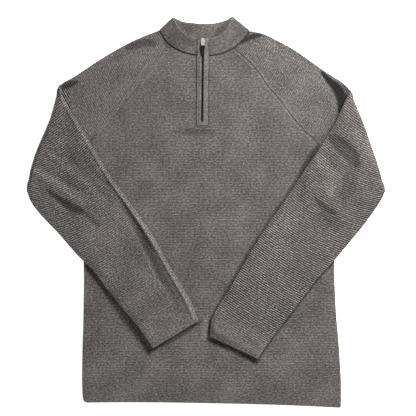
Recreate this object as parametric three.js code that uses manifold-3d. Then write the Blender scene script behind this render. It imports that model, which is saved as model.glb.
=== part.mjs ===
import * as THREE from "three";
import Module from "manifold-3d";

// Quarter zip sweater laid on its back, both sleeves folded over the front.
// Millimetres. X runs to the viewer's right, Y towards the collar, Z up from the surface.
// The origin lies on the surface, under the middle of the laid garment.

const wasm = await Module();
wasm.setup();

// Cloth and how its layers lie
const cloth = 2.4;
const layerGap = 0.3;
const rim = 0.45;
const seamHalfGap = 0.2;
const neckHalfGap = 0.3;
const edgeRound = 2.6;
const frontLies = cloth + layerGap;

// Zip, measured across and along its slightly leaning axis
const zipFootX = -8.5;
const zipFootY = 163.3;
const zipTopX = -6.7;
const zipTopY = 330.3;
const bandHalfWidth = 11.5;
const slotHalfWidth = 1.8;
const bandFootHeight = 7.6;
const bandCorner = 5;
const bandUnder = 4.7;
const bandThick = 1.9;
const tapeUnder = 3.7;
const tapeThick = 0.7;
const tapeInner = 1.1;
const tapeOuter = 10.6;

// Slider and pull
const hingeY = 322;
const hingeZ = 8.9;
const plateThick = 1.2;
const topPlateUnder = 6.9;
const wire = 0.5;
const tabLength = 18.6;
const tabTopWidth = 8.2;
const tabFootWidth = 4.7;
const tabThick = 2.4;

// Side edges of the body, from the hem up to the underarm
const sideLeft = [
  { x: -227, y: -362 },
  { x: -232.5, y: -359 },
  { x: -234.5, y: -352 },
  { x: -236, y: -319 },
  { x: -235.5, y: -270 },
  { x: -234, y: -219 },
  { x: -233, y: -169 },
  { x: -232.5, y: -116 },
  { x: -236, y: -34 },
  { x: -247, y: 76 },
];
const sideRight = [
  { x: 252.5, y: -371.5 },
  { x: 255, y: -370 },
  { x: 255.5, y: -366 },
  { x: 255.5, y: -319 },
  { x: 253.5, y: -283 },
  { x: 250, y: -234 },
  { x: 246.5, y: -194 },
  { x: 243.5, y: -133 },
  { x: 243, y: -99 },
  { x: 250, y: -34 },
  { x: 261, y: 76 },
];

// Raglan seams, from the underarm up to the neck seam
const raglanFrontLeft = [
  { x: -247, y: 76 },
  { x: -240, y: 104 },
  { x: -225, y: 131 },
  { x: -203, y: 154 },
  { x: -176, y: 188 },
  { x: -153, y: 216.5 },
  { x: -125, y: 251.5 },
  { x: -80, y: 308 },
  { x: -71, y: 318 },
];
const raglanFrontRight = [
  { x: 261, y: 76 },
  { x: 242, y: 104 },
  { x: 216, y: 129 },
  { x: 192, y: 148 },
  { x: 166.5, y: 176.5 },
  { x: 141.5, y: 209 },
  { x: 116.5, y: 239 },
  { x: 87, y: 279 },
  { x: 51.5, y: 311 },
];
const raglanBackLeft = [
  { x: -247, y: 76 },
  { x: -240, y: 104 },
  { x: -224, y: 132 },
  { x: -176, y: 192 },
  { x: -125, y: 257 },
  { x: -67, y: 329 },
];
const raglanBackRight = [
  { x: 261, y: 76 },
  { x: 242, y: 105 },
  { x: 216, y: 132 },
  { x: 166.5, y: 182 },
  { x: 116.5, y: 246 },
  { x: 60, y: 328 },
];

// Collar corners at the neck seam, and how far each stretch of the seam dips below its chord
const collarLeft = { x: -90, y: 345 };
const collarRight = { x: 83, y: 344 };
const neckDipFront = 17.5;
const neckDipBack = 8;
const neckBulge = 1.9;
const neckSquareness = 2.5;

// Top edge of the collar, from the left peak to the right peak
const collarTopFront = [
  { x: -63.5, y: 370.4 },
  { x: -59.5, y: 364.5 },
  { x: -54, y: 352 },
  { x: -43, y: 340 },
  { x: -30, y: 333 },
  { x: -18, y: 330.5 },
  { x: -6.7, y: 330 },
  { x: 5.5, y: 330 },
  { x: 18.8, y: 332.4 },
  { x: 27, y: 338 },
  { x: 34, y: 344.5 },
  { x: 43, y: 360 },
  { x: 49.2, y: 371.9 },
];
const collarTopBack = [
  { x: -63.5, y: 370.4 },
  { x: -57, y: 367 },
  { x: -44.5, y: 361.5 },
  { x: -22.4, y: 358.5 },
  { x: -4.6, y: 357.3 },
  { x: 14.4, y: 358.3 },
  { x: 27, y: 361 },
  { x: 38, y: 364.5 },
  { x: 44, y: 368.5 },
  { x: 49.2, y: 371.9 },
];

// Sleeves. shoulder: overarm edge from the collar to the fold. over and under: the two edges
// of the part folded back over the front, from the fold to the cuff. foldFoot: where the fold
// meets the underarm seam. bow: how far the fold's axis lies outside its chord, along its length.
// rise: how high the overarm edge stands at the fold, and how far along the shoulder that reaches.
// lie: height of the folded part's middle, and how far its under edge sinks.
// folds: ridges (high > 0) and troughs of the layer that shows.
const leftSleeve = {
  shoulder: [
    { x: -90, y: 345 },
    { x: -128, y: 330 },
    { x: -151, y: 319 },
    { x: -185, y: 300 },
    { x: -221, y: 277 },
    { x: -255, y: 254.5 },
    { x: -268.5, y: 247 },
    { x: -277.6, y: 240.8 },
  ],
  foldFoot: { x: -339.1, y: 37.5 },
  over: [
    { x: -277.6, y: 240.8 },
    { x: -271.5, y: 216 },
    { x: -243, y: 169 },
    { x: -211, y: 115 },
    { x: -176, y: 59 },
    { x: -136, y: 5.5 },
    { x: -107, y: -36 },
    { x: -67, y: -106.5 },
    { x: -29, y: -171 },
    { x: -15, y: -207 },
  ],
  under: [
    { x: -339.1, y: 37.5 },
    { x: -333.5, y: 22 },
    { x: -325.5, y: 9 },
    { x: -306.5, y: -13.5 },
    { x: -281, y: -40 },
    { x: -246, y: -80 },
    { x: -212, y: -114.5 },
    { x: -192.5, y: -141 },
    { x: -153, y: -190.5 },
    { x: -128, y: -220.5 },
    { x: -101, y: -258.5 },
  ],
  bow: [0, -5.65, -6.45, -6.75, -5.05, -2.35, 0.1, 1.3, 1, -1.3, 0],
  rise: { high: 3, reach: 40 },
  lie: [
    { z: 9.85, sink: 0 },
    { z: 9.95, sink: 2.2 },
    { z: 10.1, sink: 3.4 },
    { z: 10.2, sink: 1.6 },
    { z: 10.2, sink: 0 },
    { z: 10.2, sink: 0 },
    { z: 10.4, sink: -1 },
    { z: 10.9, sink: -3 },
  ],
  folds: [
    { path: [[-229, 95], [-195, 59], [-162, 19], [-132, -27], [-107, -74], [-84, -125]], wide: 17, high: -1.8 },
    { path: [[-84, -125], [-71, -144], [-52, -184]], wide: 14, high: -1.2 },
    { path: [[-260, 99], [-226, 72], [-196, 55]], wide: 15, high: -1.5 },
    { path: [[-272, 118], [-234, 96], [-196, 82]], wide: 13, high: 1.1 },
    { path: [[-289, 32], [-262, 14], [-234, 0]], wide: 15, high: -1.5 },
    { path: [[-289, 51], [-262, 40], [-240, 24]], wide: 12, high: 1.6 },
    { path: [[-253, 146], [-246, 156]], wide: 22, high: -1 },
    { path: [[-190, -60], [-150, -96], [-128, -140]], wide: 24, high: 1 },
  ],
};
const rightSleeve = {
  shoulder: [
    { x: 83, y: 344 },
    { x: 109, y: 338 },
    { x: 134, y: 326 },
    { x: 169.5, y: 306 },
    { x: 204, y: 282 },
    { x: 230, y: 264 },
    { x: 255, y: 248 },
    { x: 265, y: 239.5 },
    { x: 271.5, y: 231.7 },
  ],
  foldFoot: { x: 338.3, y: 38.4 },
  over: [
    { x: 271.5, y: 231.7 },
    { x: 262.5, y: 211 },
    { x: 246, y: 174 },
    { x: 218, y: 126.5 },
    { x: 187, y: 81 },
    { x: 157, y: 35 },
    { x: 126.5, y: -9.5 },
    { x: 86.5, y: -70.5 },
    { x: 45, y: -142.5 },
    { x: 17, y: -188 },
    { x: 9, y: -207 },
    { x: 6, y: -235.5 },
  ],
  under: [
    { x: 338.3, y: 38.4 },
    { x: 331, y: 22.5 },
    { x: 320.5, y: 6 },
    { x: 295.5, y: -28 },
    { x: 270, y: -59 },
    { x: 243, y: -91 },
    { x: 212, y: -124 },
    { x: 180, y: -166 },
    { x: 151, y: -204 },
    { x: 121.5, y: -242 },
    { x: 97, y: -278.5 },
  ],
  bow: [0, -4.6, -3.6, -1.85, -1.35, -1.6, -1.35, -1.35, -2.1, -3.85, 0],
  rise: { high: 3, reach: 62 },
  lie: [
    { z: 9.85, sink: 0 },
    { z: 9.95, sink: 2 },
    { z: 10.1, sink: 3.2 },
    { z: 10.2, sink: 1.4 },
    { z: 10.2, sink: 0 },
    { z: 10.2, sink: 0 },
    { z: 10.7, sink: 0 },
    { z: 11.6, sink: -0.6 },
  ],
  folds: [
    { path: [[250, 138], [264, 116], [277, 99]], wide: 13, high: -1.5 },
    { path: [[241, 116], [250, 92], [257, 74]], wide: 14, high: 1.5 },
    { path: [[267, 91], [269, 60], [266, 30]], wide: 15, high: -1.4 },
    { path: [[290, 96], [296, 66], [292, 34]], wide: 14, high: 1.2 },
    { path: [[209, 27], [228, 14], [244, 0]], wide: 9, high: -1.7 },
    { path: [[204, 36], [226, 24], [246, 10]], wide: 10, high: 1.3 },
    { path: [[228, -8], [240, -18]], wide: 14, high: -1 },
    { path: [[120, -60], [150, -110], [140, -160]], wide: 26, high: 0.9 },
  ],
};

// Soft waves of the front and of the shoulders, on a cloth that lies a little proud
const frontFolds = [
  { path: [[-40, 120], [-20, 146], [-12, 158]], wide: 8, high: -0.6 },
  { path: [[22, 124], [4, 148], [-4, 158]], wide: 8, high: -0.5 },
  { path: [[-170, 140], [-110, 60], [-80, 10]], wide: 34, high: 0.5 },
  { path: [[150, 130], [110, 60], [92, 20]], wide: 34, high: 0.5 },
  { path: [[-190, -300], [-60, -315], [60, -310]], wide: 30, high: 0.5 },
  { path: [[150, -250], [205, -300], [225, -350]], wide: 26, high: 0.6 },
  { path: [[-215, -150], [-200, -250], [-210, -330]], wide: 26, high: 0.4 },
];
const leftYokeFolds = [
  { path: [[-200, 298], [-176, 290]], wide: 18, high: -0.9 },
  { path: [[-136, 322], [-112, 330], [-92, 332]], wide: 12, high: -0.9 },
  { path: [[-160, 268], [-120, 300]], wide: 20, high: 0.8 },
];
const rightYokeFolds = [
  { path: [[64, 326], [86, 332], [112, 337]], wide: 11, high: -1 },
  { path: [[112, 312], [150, 296], [180, 272]], wide: 24, high: 1.2 },
  { path: [[222, 264], [236, 250], [246, 232]], wide: 12, high: -1.1 },
];

// Steps of the grids
const hemSteps = [0, 0.5, 1.5, 3.2, 10, 24];
const frontRows = 12;
const backRows = 8;
const raglanRows = 10;
const nearNeck = [2.4, 0.8];
const layerColumns = 7;

const knit = new THREE.MeshStandardMaterial({ color: 0x6f6a66, roughness: 0.96, metalness: 0 });
const knitLight = new THREE.MeshStandardMaterial({ color: 0x75706c, roughness: 0.96, metalness: 0 });
const blackTape = new THREE.MeshStandardMaterial({ color: 0x1b1a1a, roughness: 0.85, metalness: 0 });
const steel = new THREE.MeshStandardMaterial({ color: 0xc4c4c2, roughness: 0.3, metalness: 1 });
const blackTab = new THREE.MeshStandardMaterial({ color: 0x18181a, roughness: 0.5, metalness: 0 });

function mix(a, b, t) {
  return a + (b - a) * t;
}

function step(from, to, x) {
  const t = Math.min(Math.max((x - from) / (to - from), 0), 1);
  return t * t * (3 - 2 * t);
}

function mixPoint(a, b, t) {
  return { x: mix(a.x, b.x, t), y: mix(a.y, b.y, t) };
}

// A smooth curve through a table of points, read by its share of the length
function curve(rows) {
  const points = rows.map((r) => new THREE.Vector3(r.x, r.y, 0));
  const line = new THREE.CatmullRomCurve3(points, false, "centripetal");
  line.arcLengthDivisions = 400;
  return line;
}

// A smooth value through a table, read by its share of the rows
function through(values, t) {
  const last = values.length - 1;
  const at = Math.min(Math.max(t, 0), 1) * last;
  const i = Math.min(Math.floor(at), last - 1);
  return mix(values[i], values[i + 1], step(0, 1, at - i) * 0.5 + (at - i) * 0.5);
}

// Height that a table of folds adds at a point
function swell(folds, x, y) {
  let sum = 0;
  for (const fold of folds) {
    let near = Infinity;
    for (let i = 0; i + 1 < fold.path.length; i++) {
      const [ax, ay] = fold.path[i];
      const [bx, by] = fold.path[i + 1];
      const dx = bx - ax;
      const dy = by - ay;
      const t = Math.min(Math.max(((x - ax) * dx + (y - ay) * dy) / (dx * dx + dy * dy), 0), 1);
      near = Math.min(near, Math.hypot(x - ax - dx * t, y - ay - dy * t));
    }
    if (near < fold.wide) {
      sum += fold.high * Math.cos((Math.PI / 2) * (near / fold.wide)) ** 2;
    }
  }
  return sum;
}

// Share of the full wall at a distance from a rounded edge
function rounded(distance) {
  if (distance >= edgeRound) {
    return 1;
  }
  const t = 1 - distance / edgeRound;
  return rim / cloth + (1 - rim / cloth) * Math.sqrt(1 - t * t);
}

// A closed solid between two grids of points
function wall(outer, inner) {
  const rows = outer.length;
  const columns = outer[0].length;
  const positions = [...outer.flat(2), ...inner.flat(2)];
  const o = (i, j) => i * columns + j;
  const n = (i, j) => (rows + i) * columns + j;
  const faces = [];
  const quad = (a, b, c, d) => faces.push(a, b, c, a, c, d);
  for (let i = 0; i + 1 < rows; i++) {
    for (let j = 0; j + 1 < columns; j++) {
      quad(o(i, j), o(i, j + 1), o(i + 1, j + 1), o(i + 1, j));
      quad(n(i, j), n(i + 1, j), n(i + 1, j + 1), n(i, j + 1));
    }
    quad(o(i, 0), o(i + 1, 0), n(i + 1, 0), n(i, 0));
    quad(o(i + 1, columns - 1), o(i, columns - 1), n(i, columns - 1), n(i + 1, columns - 1));
  }
  for (let j = 0; j + 1 < columns; j++) {
    quad(o(0, j + 1), o(0, j), n(0, j), n(0, j + 1));
    quad(o(rows - 1, j), o(rows - 1, j + 1), n(rows - 1, j + 1), n(rows - 1, j));
  }
  let volume = 0;
  const v = (k) => new THREE.Vector3().fromArray(positions, 3 * k);
  for (let k = 0; k < faces.length; k += 3) {
    volume += v(faces[k]).dot(v(faces[k + 1]).cross(v(faces[k + 2])));
  }
  if (volume < 0) {
    faces.reverse();
  }
  const geometry = new THREE.BufferGeometry();
  geometry.setAttribute("position", new THREE.Float32BufferAttribute(positions, 3));
  geometry.setIndex(faces);
  geometry.computeVertexNormals();
  return geometry;
}

function toSolid(geometry) {
  const flat = geometry.index ? geometry.toNonIndexed() : geometry;
  const count = flat.attributes.position.count;
  const mesh = new wasm.Mesh({
    numProp: 3,
    vertProperties: new Float32Array(flat.attributes.position.array),
    triVerts: Uint32Array.from({ length: count }, (_, k) => k),
  });
  mesh.merge();
  return new wasm.Manifold(mesh);
}

function fromSolid(solid) {
  const mesh = solid.getMesh();
  const geometry = new THREE.BufferGeometry();
  geometry.setAttribute("position", new THREE.Float32BufferAttribute(mesh.vertProperties, 3));
  geometry.setIndex([...mesh.triVerts]);
  const flat = geometry.toNonIndexed();
  flat.computeVertexNormals();
  return flat;
}

// A flat shape raised between two heights
function slab(shape, from, to, soft = 0) {
  const geometry = new THREE.ExtrudeGeometry(shape, {
    depth: to - from - 2 * soft,
    bevelEnabled: soft > 0,
    bevelThickness: soft,
    bevelSize: soft,
    bevelOffset: -soft,
    bevelSegments: 1,
    curveSegments: 4,
  });
  geometry.translate(0, 0, from + soft);
  return toSolid(geometry);
}

// Zip axis: x on the axis at a height
function zipX(y) {
  return mix(zipFootX, zipTopX, (y - zipFootY) / (zipTopY - zipFootY));
}

// Raglan stations, as shares from the underarm to the neck, closer at the neck seam
const stations = [];
for (let k = 0; k < raglanRows; k++) {
  stations.push(k / raglanRows);
}
for (const d of nearNeck) {
  stations.push(1 - d / 310);
}
stations.push(1);

// One side of a raglan seam: its points moved off the seam by the half gap.
// toward is 1 for the piece on the right of the upward seam, -1 for the piece on its left.
function seamPoints(table, toward) {
  const line = curve(table);
  const points = stations.map((s) => line.getPointAt(s));
  return points.map((p, k) => {
    const a = points[Math.max(k - 1, 0)];
    const b = points[Math.min(k + 1, points.length - 1)];
    const length = Math.hypot(b.x - a.x, b.y - a.y);
    return {
      x: p.x + (toward * seamHalfGap * (b.y - a.y)) / length,
      y: p.y - (toward * seamHalfGap * (b.x - a.x)) / length,
    };
  });
}

// A stretch of the neck seam between two ends, bent below its chord
function neckStretch(a, b, dip, squareness, t) {
  const p = mixPoint(a, b, t);
  const sag = dip * (1 - Math.abs(2 * t - 1) ** squareness);
  const length = Math.hypot(b.x - a.x, b.y - a.y);
  return {
    x: p.x + (sag * (b.y - a.y)) / length,
    y: p.y - (sag * (b.x - a.x)) / length,
  };
}

// The neck seam of one face, from collar corner to collar corner
function neckSeam(leftJoin, rightJoin, dip) {
  const rows = [];
  for (let k = 0; k < 8; k++) {
    rows.push(neckStretch(collarLeft, leftJoin, neckBulge, 2, k / 8));
  }
  for (let k = 0; k < 40; k++) {
    rows.push(neckStretch(leftJoin, rightJoin, dip, neckSquareness, k / 40));
  }
  for (let k = 0; k <= 8; k++) {
    rows.push(neckStretch(rightJoin, collarRight, neckBulge, 2, k / 8));
  }
  return rows;
}

const ends = (table) => table[table.length - 1];
const neckFront = neckSeam(ends(raglanFrontLeft), ends(raglanFrontRight), neckDipFront);
const neckBack = neckSeam(ends(raglanBackLeft), ends(raglanBackRight), neckDipBack);

// Height of the front cloth above its lowest lie
function frontLift(x, y, edge) {
  const nearZip = (1 - step(18, 55, Math.abs(x - zipX(y)))) * step(120, 150, y);
  const lift = (0.7 + swell(frontFolds, x, y)) * step(0, 26, edge);
  return Math.max(0, lift * (1 - nearZip));
}

// A body panel. face is 1 for the front and -1 for the back.
function bodyPanel(face, along, across) {
  const isFront = face > 0;
  const left = curve(sideLeft);
  const right = curve(sideRight);
  const seamLeft = seamPoints(isFront ? raglanFrontLeft : raglanBackLeft, 1);
  const seamRight = seamPoints(isFront ? raglanFrontRight : raglanBackRight, -1);
  const dip = isFront ? neckDipFront : neckDipBack;
  const sideLength = left.getLength();
  const rows = [];
  const distances = [...hemSteps];
  for (let k = 1; k < along; k++) {
    distances.push(mix(24, sideLength, k / along));
  }
  for (const d of distances) {
    const share = d / sideLength;
    const a = left.getPointAt(share);
    const b = right.getPointAt(share);
    rows.push({ a, b, sag: mix(-3.5, 0, step(0, 0.3, share)), hem: d, open: 1 });
  }
  stations.forEach((s, k) => {
    rows.push({
      a: seamLeft[k],
      b: seamRight[k],
      sag: dip * step(0.45, 1, s) ** 1.5,
      hem: Infinity,
      neck: (1 - s) * 310,
      open: k === 0 ? 1 : 0,
    });
  });
  const outer = [];
  const inner = [];
  for (const row of rows) {
    const width = Math.hypot(row.b.x - row.a.x, row.b.y - row.a.y);
    const edges = [0, 0.5, 1.5, 3.2];
    const places = edges.map((e) => e / width);
    for (let j = 1; j < across; j++) {
      places.push(mix(3.2 / width, 1 - 3.2 / width, j / across));
    }
    for (const e of [...edges].reverse()) {
      places.push(1 - e / width);
    }
    const outerRow = [];
    const innerRow = [];
    for (const t of places) {
      const p = neckStretch(row.a, row.b, row.sag, neckSquareness, t);
      const edge = Math.min(t, 1 - t) * width;
      let thick = cloth * Math.min(rounded(row.hem), row.open ? rounded(edge) : 1);
      let x = p.x;
      let y = p.y;
      if (row.neck !== undefined && row.neck < 3) {
        thick *= mix(0.72, 1, step(0, 2.4, row.neck));
        y -= row.neck < 0.1 ? neckHalfGap : neckHalfGap * (1 - row.neck / 3);
      }
      const lift = isFront ? frontLift(x, y, Math.min(edge, row.hem, row.neck ?? Infinity)) : 0;
      const base = isFront ? frontLies + lift : cloth;
      innerRow.push([x, y, base]);
      outerRow.push([x, y, base + face * thick]);
    }
    outer.push(outerRow);
    inner.push(innerRow);
  }
  return wall(outer, inner);
}

// Slot of the front that the zip and its band fill
function zipSlot() {
  const half = bandHalfWidth + layerGap;
  const foot = zipFootY - layerGap;
  const corner = bandCorner + layerGap;
  const shape = new THREE.Shape();
  shape.moveTo(zipX(400) - half, 400);
  shape.lineTo(zipX(foot) - half, foot + corner);
  shape.absarc(zipX(foot) - half + corner, foot + corner, corner, Math.PI, 1.5 * Math.PI, false);
  shape.absarc(zipX(foot) + half - corner, foot + corner, corner, 1.5 * Math.PI, 2 * Math.PI, false);
  shape.lineTo(zipX(400) + half, 400);
  shape.closePath();
  return slab(shape, -5, 30);
}

// A raglan sleeve: a flat tube from the neck, turned over its fold line and laid over the front.
// side is -1 for the sleeve on the left and 1 for the one on the right.
function sleeve(side, table, frontSeamRows, backSeamRows, yokeFolds) {
  const turnRadius = 3.65;
  const turnZ = cloth + layerGap / 2 + turnRadius;
  const lowZ = cloth + layerGap / 2;
  const frontSeam = seamPoints(frontSeamRows, side);
  const backSeam = seamPoints(backSeamRows, side);
  const shoulder = curve(table.shoulder);
  const corner = shoulder.getPointAt(1);
  const foot = table.foldFoot;
  const foldLength = Math.hypot(foot.x - corner.x, foot.y - corner.y);
  const out = {
    x: (side * (corner.y - foot.y)) / foldLength,
    y: (side * (foot.x - corner.x)) / foldLength,
  };
  const shoulderLength = shoulder.getLength();
  const riseAt = (share) => table.rise.high * (1 - step(5, table.rise.reach, (1 - share) * shoulderLength));
  const rings = [];

  // From the neck to the underarm
  for (let k = stations.length - 1; k >= 0; k--) {
    const s = stations[k];
    const a = shoulder.getPointAt((1 - s) * 0.9);
    const neck = (1 - s) * 310;
    rings.push({
      a: { x: a.x, y: a.y },
      front: frontSeam[k],
      back: backSeam[k],
      bulge: neckBulge * (1 - step(0, 60, neck)),
      neck,
      seam: k === 0 ? 1 : 0,
      normal: [0, 0, -1],
      z: lowZ,
      rise: riseAt((1 - s) * 0.9),
      loop: layerGap / 2,
      bow: 0,
      low: 1,
    });
  }

  // From the underarm to the fold
  const underarm = frontSeam[0];
  for (let k = 1; k <= 3; k++) {
    const t = k / 3;
    const a = shoulder.getPointAt(0.9 + 0.1 * t);
    const b = mixPoint(underarm, foot, t);
    rings.push({
      a: { x: a.x, y: a.y },
      front: b,
      back: b,
      bulge: 0,
      seam: 1,
      normal: [0, 0, -1],
      z: lowZ,
      rise: riseAt(0.9 + 0.1 * t),
      loop: layerGap / 2,
      bow: t * t,
      low: 1,
    });
  }

  // Round the fold
  const turns = 6;
  for (let k = 1; k < turns; k++) {
    const angle = (Math.PI * k) / turns;
    rings.push({
      a: { x: corner.x, y: corner.y },
      front: { x: foot.x, y: foot.y },
      back: { x: foot.x, y: foot.y },
      reach: turnRadius * Math.sin(angle),
      bulge: 0,
      seam: 1,
      normal: [out.x * Math.sin(angle), out.y * Math.sin(angle), -Math.cos(angle)],
      z: turnZ - turnRadius * Math.cos(angle),
      rise: table.rise.high * (1 - k / turns),
      loop: mix(layerGap / 2, 0.6, k / turns),
      bow: 1,
      low: 0,
    });
  }

  // From the fold to the cuff
  const over = curve(table.over);
  const under = curve(table.under);
  const length = over.getLength();
  const distances = [0];
  const armRows = 16;
  for (let k = 1; k <= armRows; k++) {
    distances.push(mix(0, length - 8, k / armRows));
  }
  distances.push(length - 3.2, length - 1.5, length - 0.5, length);
  for (const d of distances) {
    const t = d / length;
    const a = over.getPointAt(t);
    const b = under.getPointAt(t);
    rings.push({
      a: { x: a.x, y: a.y },
      front: { x: b.x, y: b.y },
      back: { x: b.x, y: b.y },
      bulge: 0,
      seam: 1,
      cuff: length - d,
      normal: [0, 0, 1],
      z: through(table.lie.map((r) => r.z), t),
      rise: 0,
      sink: through(table.lie.map((r) => r.sink), t),
      loop: 0.6,
      bow: 1 - step(0, 0.22, t),
      low: 0,
      arm: 1,
    });
  }

  const outer = [];
  const inner = [];
  for (const ring of rings) {
    const outerRow = [];
    const innerRow = [];
    const loopOut = ring.loop + cloth;

    // A point of one layer, at a distance from the overarm edge and off the tube's middle
    const place = (end, distance, off) => {
      const width = Math.hypot(end.x - ring.a.x, end.y - ring.a.y);
      const t = distance / width;
      const bend = -side * ring.bulge * 4 * t * (1 - t);
      const taper = mix(0.3, 1, step(0, 0.07, t) * step(0, 0.07, 1 - t));
      const bow = ring.bow * through(table.bow, t) + (ring.reach ?? 0) * taper;
      const p = {
        x: mix(ring.a.x, end.x, t) + (bend * (end.y - ring.a.y)) / width + out.x * bow,
        y: mix(ring.a.y, end.y, t) - (bend * (end.x - ring.a.x)) / width + out.y * bow,
      };
      if (ring.neck !== undefined && ring.neck < 3) {
        const away = neckHalfGap * (1 - ring.neck / 3);
        const to = Math.hypot(end.x - ring.a.x, end.y - ring.a.y);
        p.x += (side * away * Math.abs(end.y - ring.a.y)) / to;
        p.y -= (away * Math.abs(end.x - ring.a.x)) / to;
      }
      const z = ring.z - (ring.sink ?? 0) * step(0.66, 1, t) + ring.rise * (1 - step(3, 13, distance));
      const aside = off * taper;
      return [p.x + ring.normal[0] * aside, p.y + ring.normal[1] * aside, z + ring.normal[2] * off];
    };

    const layer = (end, sign, columns) => {
      const width = Math.hypot(end.x - ring.a.x, end.y - ring.a.y);
      const distances = [loopOut];
      for (let j = 0; j < columns; j++) {
        distances.push(mix(loopOut + 10, width - 3.2, j / (columns - 1)));
      }
      distances.push(width - 1.5, width - 0.5, width);
      const points = distances.map((d, j) => {
        let thick = cloth;
        if (ring.seam) {
          thick *= rounded(width - d);
        }
        if (ring.cuff !== undefined) {
          thick = Math.min(thick, cloth * rounded(ring.cuff));
        }
        if (ring.neck !== undefined && ring.neck < 3) {
          thick *= mix(0.72, 1, step(0, 2.4, ring.neck));
        }
        const here = place(end, d, 0);
        const free = step(loopOut, 14, d) * step(0, 16, width - d) * (j === 0 ? 0 : 1);
        let lift = 0;
        if (ring.arm && sign > 0) {
          lift = Math.max(0, 1.8 + swell(table.folds, here[0], here[1])) * free;
          lift *= step(0, 14, ring.cuff);
        }
        if (ring.low && sign < 0 && ring.neck !== undefined) {
          lift = Math.max(0, 0.9 + swell(yokeFolds, here[0], here[1])) * step(loopOut, 26, d);
          lift *= step(0, 20, width - d) * step(0, 14, ring.neck);
          lift *= step(20, 90, here[1] - 60);
        }
        const gap = mix(ring.loop, layerGap / 2, step(loopOut, loopOut + 12, d));
        const off = sign * (gap + lift);
        return [place(end, d, off), place(end, d, off + sign * thick)];
      });
      return points;
    };

    // Front layer from its seam to the overarm edge
    for (const [near, far] of layer(ring.front, -1, layerColumns).reverse()) {
      innerRow.push(near);
      outerRow.push(far);
    }

    // Round the overarm edge
    const bends = 6;
    for (let j = 1; j < bends; j++) {
      const angle = Math.PI * (j / bends - 0.5);
      const end = mixPoint(ring.front, ring.back, 0.5 + 0.5 * Math.sin(angle));
      innerRow.push(place(end, loopOut - ring.loop * Math.cos(angle), ring.loop * Math.sin(angle)));
      outerRow.push(place(end, loopOut - loopOut * Math.cos(angle), loopOut * Math.sin(angle)));
    }

    // Back layer from the overarm edge to its seam
    for (const [near, far] of layer(ring.back, 1, layerColumns)) {
      innerRow.push(near);
      outerRow.push(far);
    }
    outer.push(outerRow);
    inner.push(innerRow);
  }
  return wall(outer, inner);
}

// Share of a curve's length where it reaches an x, for curves that run to the right
function shareAtX(line, x) {
  let low = 0;
  let high = 1;
  for (let k = 0; k < 40; k++) {
    const mid = (low + high) / 2;
    if (line.getPointAt(mid).x < x) {
      low = mid;
    } else {
      high = mid;
    }
  }
  return (low + high) / 2;
}

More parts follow.
